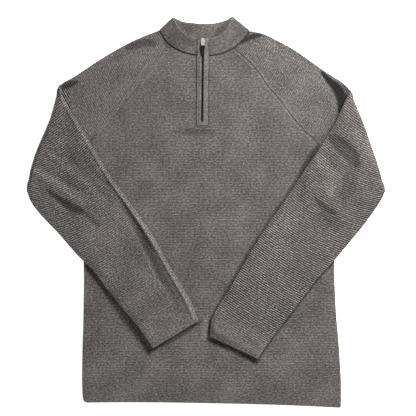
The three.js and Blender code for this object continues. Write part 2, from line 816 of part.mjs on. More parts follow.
// The collar: one band from the left zip edge round the back to the right zip edge
function collar() {
  const footFront = curve(neckFront);
  const footBack = curve(neckBack);
  const topFront = curve(collarTopFront);
  const topBack = curve(collarTopBack);
  const half = bandHalfWidth + layerGap;
  const loopOut = cloth + layerGap / 2;
  const levels = [0, 0.02, 0.06, 0.35, 0.65, 0.93, 0.975, 0.99, 1];
  const frontColumns = 10;
  const backColumns = 14;
  const outer = [];
  const inner = [];
  const height = 37;

  for (const v of levels) {
    const fromFoot = v * height;
    const fromTop = (1 - v) * height;
    const lift = neckHalfGap * (1 - v);
    const thick = cloth * Math.min(rounded(fromTop), mix(0.72, 1, step(0, 2.2, fromFoot)));
    const outerRow = [];
    const innerRow = [];
    const zipFootShare = [-1, 1].map((s) => shareAtX(footFront, zipX(297) + s * half));
    const zipTopShare = [-1, 1].map((s) => shareAtX(topFront, zipX(330) + s * half));

    // One front half, read from its side fold (0) to its zip edge (1)
    const frontHalf = (s) => (share) => {
      const k = s < 0 ? 0 : 1;
      const start = s < 0 ? 0 : 1;
      const f = footFront.getPointAt(mix(start, zipFootShare[k], share));
      const t = topFront.getPointAt(mix(start, zipTopShare[k], share));
      const p = mixPoint(f, t, v);
      return { x: p.x, y: p.y + lift };
    };
    // The back, read from the left side fold (0) to the right one (1)
    const back = (share) => {
      const p = mixPoint(footBack.getPointAt(share), topBack.getPointAt(share), v);
      return { x: p.x, y: p.y + lift };
    };
    const peak = (s) => {
      const k = s < 0 ? 0 : 1;
      const p = mixPoint(footFront.getPointAt(k), topFront.getPointAt(k), v);
      return { x: p.x, y: p.y + lift };
    };
    const frontLength = [-1, 1].map((s) => {
      const p = frontHalf(s)(0);
      const q = frontHalf(s)(1);
      return 1.12 * Math.hypot(p.x - q.x, p.y - q.y);
    });
    const backLength = 1.05 * Math.hypot(back(0).x - back(1).x, back(0).y - back(1).y);

    const bow = (share) => 1.1 * Math.sin(Math.PI * Math.min(share * 1.2, 1)) * v * v;
    const pushFront = (s, share) => {
      const p = frontHalf(s)(share);
      const z = frontLies + bow(share);
      const edge = rounded((1 - share) * frontLength[s < 0 ? 0 : 1] + 1);
      innerRow.push([p.x, p.y, z]);
      outerRow.push([p.x, p.y, z + thick * edge]);
    };
    const turn = (s, towardBack) => {
      const k = s < 0 ? 0 : 1;
      const front = frontHalf(s)(loopOut / frontLength[k]);
      const share = loopOut / backLength;
      const rear = back(s < 0 ? share : 1 - share);
      const tip = peak(s);
      const bends = 6;
      for (let j = 1; j < bends; j++) {
        const angle = Math.PI * (0.5 - j / bends) * towardBack;
        const centre = mixPoint(rear, front, 0.5 + 0.5 * Math.sin(angle));
        const c = Math.cos(angle);
        const near = layerGap / 2;
        const far = near + thick;
        innerRow.push([
          centre.x + ((tip.x - centre.x) * near * c) / loopOut,
          centre.y + ((tip.y - centre.y) * near * c) / loopOut,
          loopOut + near * Math.sin(angle),
        ]);
        outerRow.push([
          centre.x + ((tip.x - centre.x) * far * c) / loopOut,
          centre.y + ((tip.y - centre.y) * far * c) / loopOut,
          loopOut + far * Math.sin(angle),
        ]);
      }
    };

    // Left front, from the zip to the side
    const start = loopOut / frontLength[0];
    for (const extra of [1, 1 - 0.8 / frontLength[0], 1 - 2.4 / frontLength[0]]) {
      pushFront(-1, extra);
    }
    for (let j = frontColumns - 1; j >= 0; j--) {
      pushFront(-1, mix(start, 1, j / frontColumns));
    }
    turn(-1, 1);
    const startBack = loopOut / backLength;
    for (let j = 0; j <= backColumns; j++) {
      const p = back(mix(startBack, 1 - startBack, j / backColumns));
      innerRow.push([p.x, p.y, cloth]);
      outerRow.push([p.x, p.y, cloth - thick]);
    }
    turn(1, -1);
    const startRight = loopOut / frontLength[1];
    for (let j = 0; j < frontColumns; j++) {
      pushFront(1, mix(startRight, 1, j / frontColumns));
    }
    for (const extra of [1 - 2.4 / frontLength[1], 1 - 0.8 / frontLength[1], 1]) {
      pushFront(1, extra);
    }
    outer.push(outerRow);
    inner.push(innerRow);
  }
  return wall(outer, inner);
}

// The U-shaped knit band on both sides of the zip
function zipBand() {
  const across = [0, 0.05, 0.15, 0.32, 0.5, 0.68, 0.85, 0.95, 1];
  const crown = [0.3, 0.68, 0.92, 1, 0.97, 1, 0.92, 0.68, 0.3];
  const path = [];
  const straight = 6;
  for (let k = 0; k < straight; k++) {
    const y = mix(zipTopY, zipFootY + bandFootHeight + slotHalfWidth + 6, k / (straight - 1));
    path.push({ near: { x: zipX(y) - slotHalfWidth, y }, far: { x: zipX(y) - bandHalfWidth, y } });
  }
  const inY = zipFootY + bandFootHeight + slotHalfWidth;
  for (let k = 0; k <= 12; k++) {
    const angle = Math.PI * (1 + k / 12);
    const cornerX = k === 6 ? 0 : Math.sign(k - 6) * (bandHalfWidth - bandCorner);
    path.push({
      near: { x: zipX(inY) + slotHalfWidth * Math.cos(angle), y: inY + slotHalfWidth * Math.sin(angle) },
      far: {
        x: zipX(inY) + cornerX + bandCorner * Math.cos(angle),
        y: zipFootY + bandCorner + bandCorner * Math.sin(angle),
      },
    });
  }
  for (let k = straight - 1; k >= 0; k--) {
    const y = mix(zipTopY, inY + 6, k / (straight - 1));
    path.push({ near: { x: zipX(y) + slotHalfWidth, y }, far: { x: zipX(y) + bandHalfWidth, y } });
  }
  const outer = [];
  const inner = [];
  for (const p of path) {
    outer.push(across.map((u, j) => {
      const q = mixPoint(p.near, p.far, u);
      return [q.x, q.y, bandUnder + bandThick * crown[j]];
    }));
    inner.push(across.map((u) => {
      const q = mixPoint(p.near, p.far, u);
      return [q.x, q.y, bandUnder];
    }));
  }
  return wall(outer, inner);
}

// One woven tape of the zip
function zipTape(side) {
  const foot = zipFootY + 2;
  const top = zipTopY - 1.2;
  const shape = new THREE.Shape();
  shape.moveTo(zipX(foot) + side * tapeInner, foot);
  shape.lineTo(zipX(foot) + side * (tapeOuter - 2), foot);
  shape.lineTo(zipX(foot) + side * tapeOuter, foot + 3);
  shape.lineTo(zipX(top) + side * tapeOuter, top);
  shape.lineTo(zipX(top) + side * tapeInner, top);
  shape.closePath();
  return fromSolid(slab(shape, tapeUnder, tapeUnder + tapeThick));
}

// Slider: lower plate, post between the tapes, upper plate, bridge and rounded nose
function zipSlider() {
  const x = zipX(hingeY);
  const plate = (topWidth, footWidth, from, to) => {
    const shape = new THREE.Shape();
    shape.moveTo(x - footWidth / 2 + 0.8, hingeY - 3.2);
    shape.lineTo(x + footWidth / 2 - 0.8, hingeY - 3.2);
    shape.quadraticCurveTo(x + footWidth / 2, hingeY - 3.2, x + footWidth / 2, hingeY - 2.2);
    shape.lineTo(x + footWidth / 2 + 0.1, hingeY + 1);
    shape.quadraticCurveTo(x + topWidth / 2, hingeY + 2, x + topWidth / 2, hingeY + 4);
    shape.quadraticCurveTo(x + topWidth / 2 - 0.2, hingeY + 6, x + 1.6, hingeY + 6);
    shape.lineTo(x - 1.6, hingeY + 6);
    shape.quadraticCurveTo(x - topWidth / 2 + 0.2, hingeY + 6, x - topWidth / 2, hingeY + 4);
    shape.quadraticCurveTo(x - topWidth / 2, hingeY + 2, x - footWidth / 2 - 0.1, hingeY + 1);
    shape.lineTo(x - footWidth / 2, hingeY - 2.2);
    shape.quadraticCurveTo(x - footWidth / 2, hingeY - 3.2, x - footWidth / 2 + 0.8, hingeY - 3.2);
    return slab(shape, from, to, 0.2);
  };
  const block = (width, from, to, low, high) => {
    const box = new THREE.BoxGeometry(width, to - from, high - low);
    box.translate(x, (from + to) / 2, (low + high) / 2);
    return toSolid(box);
  };
  const topPlate = plate(7.6, 5.6, topPlateUnder, topPlateUnder + plateThick);
  const lowPlate = plate(6.6, 4.6, frontLies, frontLies + 0.7);
  const post = block(1.2, hingeY + 1.4, hingeY + 4.4, frontLies + 0.4, topPlateUnder + 0.4);
  const top = topPlateUnder + plateThick;
  const rear = block(1.7, hingeY - 2.5, hingeY - 1.3, top - 0.3, top + 2);
  const fore = block(1.7, hingeY + 1.3, hingeY + 2.6, top - 0.3, top + 2);
  const bar = block(1.7, hingeY - 2.5, hingeY + 2.6, top + 1.6, top + 2.4);
  const nose = new THREE.SphereGeometry(1.8, 12, 8);
  nose.translate(x, hingeY + 6.3, top + 0.1);
  let solid = topPlate.add(lowPlate).add(post).add(rear).add(fore).add(bar);
  solid = solid.add(toSolid(nose));
  return fromSolid(solid);
}

// Link: a cross wire through the bridge, two arms and a flat foot with a tongue
function pullLink() {
  const x = zipX(hingeY);
  const cross = new THREE.CylinderGeometry(wire, wire, 5.9, 8);
  cross.rotateZ(Math.PI / 2);
  cross.translate(x, hingeY, hingeZ);
  let solid = toSolid(cross);
  for (const s of [-1, 1]) {
    const arm = new THREE.CylinderGeometry(wire, wire, 4, 8);
    arm.translate(x + s * 2.5, hingeY - 2, hingeZ);
    solid = solid.add(toSolid(arm));
    const knuckle = new THREE.SphereGeometry(wire + 0.02, 8, 6);
    knuckle.translate(x + s * 2.5, hingeY, hingeZ);
    solid = solid.add(toSolid(knuckle));
  }
  const shape = new THREE.Shape();
  const low = hingeY - 6.2;
  const high = hingeY - 3.4;
  shape.moveTo(x - 2.6, low);
  shape.lineTo(x + 2.6, low);
  shape.quadraticCurveTo(x + 3.2, low, x + 3.2, low + 0.7);
  shape.lineTo(x + 3.2, high - 0.7);
  shape.quadraticCurveTo(x + 3.2, high, x + 2.6, high);
  shape.lineTo(x - 2.6, high);
  shape.quadraticCurveTo(x - 3.2, high, x - 3.2, high - 0.7);
  shape.lineTo(x - 3.2, low + 0.7);
  shape.quadraticCurveTo(x - 3.2, low, x - 2.6, low);
  solid = solid.add(slab(shape, hingeZ - 0.6, hingeZ + 0.6, 0.15));
  const tongue = new THREE.BoxGeometry(2.4, 3.4, 0.7);
  tongue.translate(x, low - 1.2, hingeZ);
  return fromSolid(solid.add(toSolid(tongue)));
}

// Tab: a tapered soft plastic pull with a socket for the link's tongue
function pullTab() {
  const x = zipX(hingeY);
  const high = hingeY - 6.2 - layerGap;
  const low = high - tabLength;
  const centre = (y) => zipX(y);
  const shape = new THREE.Shape();
  shape.moveTo(centre(low) - tabFootWidth / 2 + 1.2, low);
  shape.lineTo(centre(low) + tabFootWidth / 2 - 1.2, low);
  shape.quadraticCurveTo(centre(low) + tabFootWidth / 2, low, centre(low) + tabFootWidth / 2, low + 1.4);
  shape.lineTo(x + tabTopWidth / 2 - 0.2, high - 2.6);
  shape.quadraticCurveTo(x + tabTopWidth / 2, high, x + tabTopWidth / 2 - 1.4, high);
  shape.lineTo(x - tabTopWidth / 2 + 1.4, high);
  shape.quadraticCurveTo(x - tabTopWidth / 2, high, x - tabTopWidth / 2 + 0.2, high - 2.6);
  shape.lineTo(centre(low) - tabFootWidth / 2, low + 1.4);
  shape.quadraticCurveTo(centre(low) - tabFootWidth / 2, low, centre(low) - tabFootWidth / 2 + 1.2, low);
  const under = hingeZ - tabThick / 2;
  const body = slab(shape, under, under + tabThick, 0.5);
  const socket = new THREE.BoxGeometry(2.4 + 2 * layerGap, 6.2, 0.7 + 2 * layerGap);
  socket.translate(x, high - 0.1, hingeZ);
  return fromSolid(body.subtract(toSolid(socket)));
}

const garment = new THREE.Group();

function piece(name, geometry, material) {
  const mesh = new THREE.Mesh(geometry, material);
  mesh.name = name;
  garment.add(mesh);
}

piece("back_panel", bodyPanel(-1, backRows, 8), knit);
piece("front_panel", fromSolid(toSolid(bodyPanel(1, frontRows, 16)).subtract(zipSlot())), knit);
piece("sleeve_left", sleeve(-1, leftSleeve, raglanFrontLeft, raglanBackLeft, leftYokeFolds), knit);
piece("sleeve_right", sleeve(1, rightSleeve, raglanFrontRight, raglanBackRight, rightYokeFolds), knit);
piece("collar", collar(), knit);
piece("zip_band", zipBand(), knitLight);
piece("zip_tape_left", zipTape(-1), blackTape);
piece("zip_tape_right", zipTape(1), blackTape);
piece("zip_slider", zipSlider(), steel);
piece("pull_link", pullLink(), steel);
piece("pull_tab", pullTab(), blackTab);

export default garment;
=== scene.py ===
import math
import bpy
import numpy as np
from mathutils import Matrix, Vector


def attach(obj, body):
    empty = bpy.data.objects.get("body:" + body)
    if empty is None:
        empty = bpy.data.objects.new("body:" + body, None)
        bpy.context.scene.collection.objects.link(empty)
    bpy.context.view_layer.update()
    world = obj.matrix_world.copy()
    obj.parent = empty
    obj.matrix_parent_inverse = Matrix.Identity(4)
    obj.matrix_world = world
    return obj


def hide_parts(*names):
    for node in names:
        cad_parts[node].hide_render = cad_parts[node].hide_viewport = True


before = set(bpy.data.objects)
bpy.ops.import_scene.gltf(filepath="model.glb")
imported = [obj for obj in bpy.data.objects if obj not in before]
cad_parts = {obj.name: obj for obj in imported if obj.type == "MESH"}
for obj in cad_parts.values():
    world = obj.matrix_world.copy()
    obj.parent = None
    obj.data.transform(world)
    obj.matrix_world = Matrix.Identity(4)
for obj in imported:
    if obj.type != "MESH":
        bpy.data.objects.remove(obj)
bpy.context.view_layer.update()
for other in bpy.context.selected_objects:
    other.select_set(False)

# Camera
# Straight above the laid garment, far off with a long lens, so that it keeps its flat proportions.
photo_width = 0.7904
camera_height = 3.2
camera_data = bpy.data.cameras.new("above")
camera_data.sensor_width = 36
camera_data.lens = 36 * camera_height / photo_width
camera_data.clip_end = 20
camera = bpy.data.objects.new("above", camera_data)
camera.location = (0.00304, 0.0075, camera_height)
bpy.context.collection.objects.link(camera)
bpy.context.scene.camera = camera

# Back panel
# The back body lies face down on the table, knitted to shape in fine wool-blend ridge knit.
# Its sides meet the front's at the side seams and its two raglan edges meet the sleeves.
cloth = 2.4
layer_gap = 0.3
rim = 0.45
edge_round = 2.6
front_lies = cloth + layer_gap
side_left = [(-227, -362), (-232.5, -359), (-234.5, -352), (-236, -319), (-235.5, -270), (-234, -219),
             (-233, -169), (-232.5, -116), (-236, -34), (-247, 76)]
side_right = [(252.5, -371.5), (255, -370), (255.5, -366), (255.5, -319), (253.5, -283), (250, -234),
              (246.5, -194), (243.5, -133), (243, -99), (250, -34), (261, 76)]
raglan_back_left = [(-247, 76), (-240, 104), (-224, 132), (-176, 192), (-125, 257), (-67, 329)]
raglan_back_right = [(261, 76), (242, 105), (216, 132), (166.5, 182), (116.5, 246), (60, 328)]
seam_half_gap = 0.12
neck_half_gap = 0.15
neck_squareness = 2.5
neck_dip_back = 8
raglan_length = 310
hem_width = 490
edge_steps = np.array([0, 0.25, 0.6, 1.1, 1.8, 2.8])
remote = 1e9


def ease(low, high, x):
    t = np.clip((np.asarray(x, float) - low) / (high - low), 0, 1)
    return t * t * (3 - 2 * t)


class Edge:
    """A smooth line through a few measured points, read by its share of the length."""

    def __init__(self, rows):
        p = np.array(rows, float)
        p = np.vstack([2 * p[0] - p[1], p, 2 * p[-1] - p[-2]])
        dense = []
        for i in range(1, len(p) - 2):
            a, b, c = [max(np.hypot(*(p[k + 1] - p[k])) ** 0.5, 1e-4) for k in (i - 1, i, i + 1)]
            t1 = ((p[i] - p[i - 1]) / a - (p[i + 1] - p[i - 1]) / (a + b) + (p[i + 1] - p[i]) / b) * b
            t2 = ((p[i + 1] - p[i]) / b - (p[i + 2] - p[i]) / (b + c) + (p[i + 2] - p[i + 1]) / c) * b
            t = np.linspace(0, 1, 60, endpoint=i == len(p) - 3)[:, None]
            flat = p[i] + t1 * t + (-3 * p[i] + 3 * p[i + 1] - 2 * t1 - t2) * t ** 2
            dense.append(flat + (2 * p[i] - 2 * p[i + 1] + t1 + t2) * t ** 3)
        self.points = np.vstack(dense)
        steps = np.hypot(*np.diff(self.points, axis=0).T)
        self.along = np.concatenate([[0], np.cumsum(steps)])
        self.length = self.along[-1]

    def at(self, share):
        d = np.clip(share, 0, 1) * self.length
        return np.stack([np.interp(d, self.along, self.points[:, k]) for k in (0, 1)], -1)

    def share_at_x(self, x):
        return np.interp(x, self.points[:, 0], self.along) / self.length


def stretches(path, x, y):
    """Each stretch of a path: how far points are from it, whether to its left, and its third value there."""
    for (ax, ay, az), (bx, by, bz) in zip(path, path[1:]):
        dx, dy = bx - ax, by - ay
        t = np.clip(((x - ax) * dx + (y - ay) * dy) / (dx * dx + dy * dy), 0, 1)
        away = np.hypot(x - ax - dx * t, y - ay - dy * t)
        yield away, dx * (y - ay) - dy * (x - ax) > 0, az + (bz - az) * t


def folds_lift(folds, x, y):
    """Height in mm that soft folds add at points; a path's points are x, y and height."""
    total = np.zeros(len(x))
    for path, wide_left, wide_right in folds:
        near, high = np.full(len(x), remote), np.zeros(len(x))
        for away, to_left, height in stretches(path, x, y):
            away = away / np.where(to_left, wide_left, wide_right)
            high = np.where(away < near, height, high)
            near = np.minimum(near, away)
        total += high * np.cos(np.pi / 2 * np.minimum(near, 1)) ** 2
    return total


def hollow_shade(paths, x, y):
    """How deep in a band of painted shade points lie, from 0 to 1 times the path's weight; a path's points
    are x, y and half width. Subtracted, it paints highlights.
    """
    shade = np.zeros(len(x))
    for weight, path in paths:
        for away, to_left, half_width in stretches(path, x, y):
            shade = np.maximum(shade, weight * (1 - ease(0.55, 1.25, away / half_width)))
    return shade


def ripple(x, y, size, phase):
    """Slow uneven waves of cloth that was laid by hand, from -1 to 1."""
    a = np.sin(x / size * 1.0 + y / size * 0.37 + phase)
    b = np.sin(y / size * 0.83 - x / size * 0.52 + 2.1 * phase + 1)
    c = np.sin((x + y) / size * 1.71 + 0.7 * phase + 2)
    return (a + b + 0.6 * c) / 2.6


def rounded(distance):
    """Share of the full wall at a distance from a rounded edge."""
    t = np.clip(1 - np.asarray(distance, float) / edge_round, 0, 1)
    return rim / cloth + (1 - rim / cloth) * np.sqrt(1 - t * t)


def at_neck(distance):
    """Share of the full wall beside the neck seam, where the two cloths are drawn together."""
    return 0.6 + 0.4 * ease(0, 2.4, distance)


def seam_points(table, toward, shares):
    """One side of a raglan seam, moved off it by the half gap."""
    p = Edge(table).at(shares)
    d = np.gradient(p, axis=0)
    d /= np.hypot(d[:, 0], d[:, 1])[:, None]
    return p + toward * seam_half_gap * np.stack([d[:, 1], -d[:, 0]], -1)


def raglan_shares(step):
    """Shares of a raglan seam's length from the underarm to the neck, closer at the neck."""
    beside_neck = np.array([0.4, 0.9, 1.6, 2.4, 3.4])
    even = np.linspace(0, 1, int(raglan_length / step))
    return np.unique(np.concatenate([even, 1 - beside_neck / raglan_length]))


def seam_shade(x, y, from_seam, from_neck, strip, tone=0):
    """Painted shade of the raglan seam's groove, of the marked strip beside it and of the neck seam; tone is
    painted shade laid under the strip.
    """
    groove = np.where(x > 0, 0.2, 0.05) * (1 - ease(0.2, 1.2, from_seam))
    strip = strip * np.where(x > 0, 0.3, 0.3 + 0.3 * ease(220, 270, y)) * (1 - ease(6, 9, from_seam))
    return np.maximum(np.maximum(groove, tone + strip), 1.4 * (1 - ease(0.6, 2.5, from_neck)))


def sagging(a, b, dip, square, t):
    """A stretch between two ends that hangs below its chord."""
    p = a + (b - a) * t[:, None]
    drop = dip * (1 - np.abs(2 * t - 1) ** square)
    d = (b - a) / np.hypot(*(b - a))
    return p + drop[:, None] * np.array([d[1], -d[0]])


def new_piece(name, points, faces, knit):
    """A smooth mesh object in metres; knit gives each point its wale and course."""
    mesh = bpy.data.meshes.new(name)
    mesh.from_pydata(points.tolist(), [], faces)
    mesh.polygons.foreach_set("use_smooth", np.ones(len(faces), bool))
    corners = np.empty(len(mesh.loops), np.int32)
    mesh.loops.foreach_get("vertex_index", corners)
    mesh.uv_layers.new(name="knit").data.foreach_set("uv", knit[corners].astype(np.float32).ravel())
    piece = bpy.data.objects.new(name, mesh)
    bpy.context.collection.objects.link(piece)
    return piece


def cloth_piece(name, rows):
    """A closed cloth wall. A row has outer and inner points in mm, course, wale, ridge and painted shading.
    """
    outer, inner = (np.array([row[k] for row in rows]) for k in (0, 1))
    count, columns = outer.shape[:2]
    spread = (np.array([np.broadcast_to(row[k], columns) for row in rows]) for k in (2, 3, 4, 5))
    course, wale, ridge, painted_shading = (np.tile(values.ravel(), 2) for values in spread)
    points = np.concatenate([outer.reshape(-1, 3), inner.reshape(-1, 3)]) * 0.001
    n = count * columns
    grid = np.arange(n).reshape(count, columns)
    a, b, c, d = grid[:-1, :-1], grid[:-1, 1:], grid[1:, 1:], grid[1:, :-1]
    loop = np.concatenate([grid[0, :-1], grid[:-1, -1], grid[-1, :0:-1], grid[:0:-1, 0]])
    after = np.roll(loop, -1)
    quads = np.concatenate([np.stack([a, b, c, d], -1).reshape(-1, 4),
                            np.stack([a, d, c, b], -1).reshape(-1, 4) + n,
                            np.stack([after, loop, loop + n, after + n], -1)])
    p = points[quads]
    fans = np.einsum("ij,ij->i", p[:, 0], np.cross(p[:, 1], p[:, 2]) + np.cross(p[:, 2], p[:, 3]))
    if fans.sum() < 0:
        quads = quads[:, ::-1]
    piece = new_piece(name, points, quads.tolist(), np.stack([wale, course], -1) * 0.001)
    # painted_shading darkens the colour where positive (painted shade) and brightens it where negative
    # (painted highlight)
    for key, values in (("ridge", ridge), ("painted_shading", painted_shading)):
        piece.data.attributes.new(key, "FLOAT", "POINT").data.foreach_set("value", values.astype(np.float32))
    return piece


def fill(tree, sockets, values):
    """Gives sockets their numbers or colours, or links other nodes' sockets to them."""
    for key, value in values.items():
        if isinstance(value, bpy.types.NodeSocket):
            tree.links.new(value, sockets[key])
        else:
            sockets[key].default_value = value


def node(tree, kind, values={}, **settings):
    """A new node, one step to the right of the last."""
    made = tree.nodes.new(kind)
    made.location = (180 * len(tree.nodes), 0)
    for key, value in settings.items():
        setattr(made, key, value)
    fill(tree, made.inputs, values)
    return made


def sums(tree, operation, *values):
    return node(tree, "ShaderNodeMath", dict(enumerate(values)), operation=operation).outputs[0]


def noise(tree, place, scale, detail=2, roughness=0.5, dimensions="2D"):
    values = {"Vector": place, "Scale": scale, "Detail": detail, "Roughness": roughness}
    return node(tree, "ShaderNodeTexNoise", values, noise_dimensions=dimensions).outputs["Fac"]


def mixed(tree, share, first, second, way="MIX"):
    values = {0: share, 6: first, 7: second}
    return node(tree, "ShaderNodeMix", values, data_type="RGBA", blend_type=way).outputs[2]


def node_group(name, sockets, results):
    """A shader node group, and the sockets inside it that bring its inputs."""
    tree = bpy.data.node_groups.new(name, "ShaderNodeTree")
    for way, table in (("INPUT", sockets), ("OUTPUT", results)):
        for label, kind in table.items():
            tree.interface.new_socket(label, in_out=way, socket_type=f"NodeSocket{kind}")
    return tree, node(tree, "NodeGroupInput").outputs


def ridge_knit_group():
    """Courses of purl ridges with small loops on them: a height and a painted groove shade."""
    sockets = {"Pitch": "Float", "Stitch": "Float", "Ridge": "Float", "Loops": "Float", "Knit UV": "Vector"}
    tree, given = node_group("ridge knit", sockets, {"Height": "Float", "Groove": "Float"})
    split = node(tree, "ShaderNodeSeparateXYZ", {0: given["Knit UV"]}).outputs
    wander = sums(tree, "MULTIPLY_ADD", noise(tree, given["Knit UV"], 160), 0.0011, -0.00055)
    turn = sums(tree, "DIVIDE", sums(tree, "ADD", split["Y"], wander), given["Pitch"])
    wave = sums(tree, "COSINE", sums(tree, "MULTIPLY", turn, 2 * math.pi))
    crest = sums(tree, "POWER", sums(tree, "MULTIPLY_ADD", wave, 0.5, 0.5), 0.7)
    beat = sums(tree, "DIVIDE", split["X"], given["Stitch"])
    beat = sums(tree, "MULTIPLY_ADD", sums(tree, "FLOOR", turn), 0.5, beat)
    loops = sums(tree, "SINE", sums(tree, "MULTIPLY", beat, 2 * math.pi))
    loops = sums(tree, "MULTIPLY", loops, given["Loops"])
    loops = sums(tree, "MULTIPLY", loops, sums(tree, "MULTIPLY_ADD", crest, 0.7, 0.3))
    height = sums(tree, "MULTIPLY_ADD", crest, given["Ridge"], loops)
    groove = sums(tree, "POWER", sums(tree, "SUBTRACT", 1.0, crest), 1.6)
    groove = sums(tree, "MULTIPLY", groove, given["Ridge"])
    node(tree, "NodeGroupOutput", {"Height": height, "Groove": groove})
    return tree


def heather_group():
    """Yarn spun from dark and pale fibres: flecks, short streaks and slow drifts of tone."""
    sockets = {"Dark": "Color", "Middle": "Color", "Pale": "Color", "Knit UV": "Vector", "Place": "Vector"}
    tree, given = node_group("heather yarn", sockets, {"Color": "Color", "Fuzz": "Float"})
    along_yarn = {"Vector": given["Knit UV"], "Scale": (0.85, 1.1, 1)}
    streaks = node(tree, "ShaderNodeMapping", along_yarn).outputs[0]
    fleck = noise(tree, streaks, 620, detail=3, roughness=0.62)
    tone = sums(tree, "MULTIPLY_ADD", fleck, 1.02, -0.49)
    tone = sums(tree, "MULTIPLY_ADD", noise(tree, streaks, 290), 0.64, tone)
    tone = sums(tree, "MULTIPLY_ADD", noise(tree, given["Place"], 22, dimensions="3D"), 0.3, tone)
    colour = given["Dark"]
    for low, high, paler in ((0.28, 0.5, "Middle"), (0.5, 0.76, "Pale")):
        share = node(tree, "ShaderNodeMapRange", {"Value": tone, "From Min": low, "From Max": high})
        colour = mixed(tree, share.outputs[0], colour, given[paler])
    node(tree, "NodeGroupOutput", {"Color": colour, "Fuzz": fleck})
    return tree


ridge_knit = ridge_knit_group()
heather = heather_group()


def new_material(name, constants):
    """A material, its node tree and its shader's sockets."""
    material = bpy.data.materials.new(name)
    material.use_nodes = True
    tree = material.node_tree
    sockets = tree.nodes["Principled BSDF"].inputs
    fill(tree, sockets, constants)
    return material, tree, sockets


def knitwear(name, tones, pitch, stitch, ridge, loops, depth, groove):
    """Matt heather knit: flecked colour, ridges and loops as height, soft nap as sheen, with painted shade in
    the grooves and the mesh's painted shading.
    """
    material, tree, shader = new_material(name, {"Roughness": 0.93, "Specular IOR Level": 0.18,
                                                 "Sheen Weight": 0.12, "Sheen Roughness": 0.55})
    knit_uv = node(tree, "ShaderNodeUVMap", uv_map="knit").outputs[0]
    place = node(tree, "ShaderNodeTexCoord").outputs["Object"]
    mask, painted_shading = (node(tree, "ShaderNodeAttribute", attribute_name=key).outputs["Fac"]
                    for key in ("ridge", "painted_shading"))
    values = {"Pitch": pitch, "Stitch": stitch, "Loops": loops, "Knit UV": knit_uv,
              "Ridge": sums(tree, "MULTIPLY", mask, ridge)}
    knit = node(tree, "ShaderNodeGroup", values, node_tree=ridge_knit).outputs
    values = {label: (*tone, 1) for label, tone in zip(("Dark", "Middle", "Pale"), tones)}
    values.update({"Knit UV": knit_uv, "Place": place})
    yarn = node(tree, "ShaderNodeGroup", values, node_tree=heather).outputs
    # Painted shade in the grooves between ridges, evened out by a lift where ridges are, then the
    # painted_shading attribute: positive darkens, negative brightens
    even = sums(tree, "MULTIPLY_ADD", mask, 0.3 * groove * ridge, 1)
    shade = sums(tree, "MULTIPLY_ADD", knit["Groove"], -groove, even)
    shade = sums(tree, "MULTIPLY", shade, sums(tree, "MULTIPLY_ADD", painted_shading, -0.62, 1))
    shade = sums(tree, "MAXIMUM", shade, 0.04)
    grey = node(tree, "ShaderNodeCombineColor", {0: shade, 1: shade, 2: shade}).outputs[0]
    height = sums(tree, "MULTIPLY_ADD", yarn["Fuzz"], 0.35, knit["Height"])
    bump = node(tree, "ShaderNodeBump", {"Strength": 1, "Distance": depth, "Height": height})
    colour = mixed(tree, 1, yarn["Color"], grey, "MULTIPLY")
    fill(tree, shader, {"Base Color": colour, "Normal": bump.outputs[0]})
    return material


body_tones = (0.0455, 0.040, 0.0378), (0.1145, 0.102, 0.0962), (0.245, 0.225, 0.215)
body_knit = knitwear("body knit", body_tones, 0.00506, 0.0019, 0.52, 0.4, 0.0005, 0.4)


def body_panel(face, seam_left, seam_right, dip, row_step, column_step, lift_of, shade_of):
    """One body panel as rows from the hem to the neck seam. face is 1 for the front, -1 for the back."""
    left, right = Edge(side_left), Edge(side_right)
    hem = np.unique(np.concatenate([edge_steps, [4.2], np.arange(6, left.length, row_step)])) / left.length
    shares = raglan_shares(1.25 * row_step)
    side_a, side_b = seam_points(seam_left, 1, shares), seam_points(seam_right, -1, shares)
    lines = [(left.at(s), right.at(s), -3.5 + 3.5 * ease(0, 0.3, s), s * left.length, remote) for s in hem]
    lines += [(side_a[k], side_b[k], dip * ease(0.45, 1, s) ** 1.5, remote, (1 - s) * raglan_length)
              for k, s in enumerate(shares)]
    columns = int(hem_width / column_step)
    rows = []
    for a, b, dip_here, from_hem, from_neck in lines:
        width = np.hypot(*(b - a))
        ends = edge_steps / width
        t = np.concatenate([ends, np.linspace(4.2 / width, 1 - 4.2 / width, columns), 1 - ends[::-1]])
        p = sagging(a, b, dip_here, neck_squareness, t)
        x, y = p[:, 0], p[:, 1] - neck_half_gap * max(0, 1 - from_neck / 3)
        edge = np.minimum(t, 1 - t) * width
        thick = cloth * np.minimum(rounded(from_hem), rounded(edge))
        if from_neck < raglan_length - 4:
            thick = cloth * (0.85 + 0.15 * ease(0, 2.6, edge))
        thick = thick * at_neck(from_neck)
        lift = lift_of(x, y, np.minimum(edge, min(from_hem, from_neck)))
        base = (front_lies if face > 0 else cloth) + lift
        # Painted shade along the hem; yoke rows get the seams' painted shade instead
        dark = np.full(len(t), 0.45 * (1 - float(ease(0.4, 1.6, from_hem))))
        if from_neck < remote:
            dark = seam_shade(x, y, edge, from_neck, face > 0)
        ridge = (0.3 + 0.7 * ease(10, 70, from_hem)) * (1.45 - 0.45 * ease(100, 330, from_hem))
        ridge = ridge * (1 - 0.55 * ease(20, 110, raglan_length - from_neck))
        ridge = ridge * (0.2 + 0.8 * ease(0, 8, edge))
        rows.append((np.stack([x, y, base + face * thick], -1), np.stack([x, y, base], -1), y, x, ridge,
                     shade_of(x, y, dark)))
    return rows


back_rows = body_panel(-1, raglan_back_left, raglan_back_right, neck_dip_back, 5, 6,
                       lambda x, y, edge: np.zeros(len(x)), lambda x, y, dark: dark)
back = cloth_piece("back_panel_knit", back_rows)
back.data.materials.append(body_knit)
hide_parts("back_panel")
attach(back, "garment")

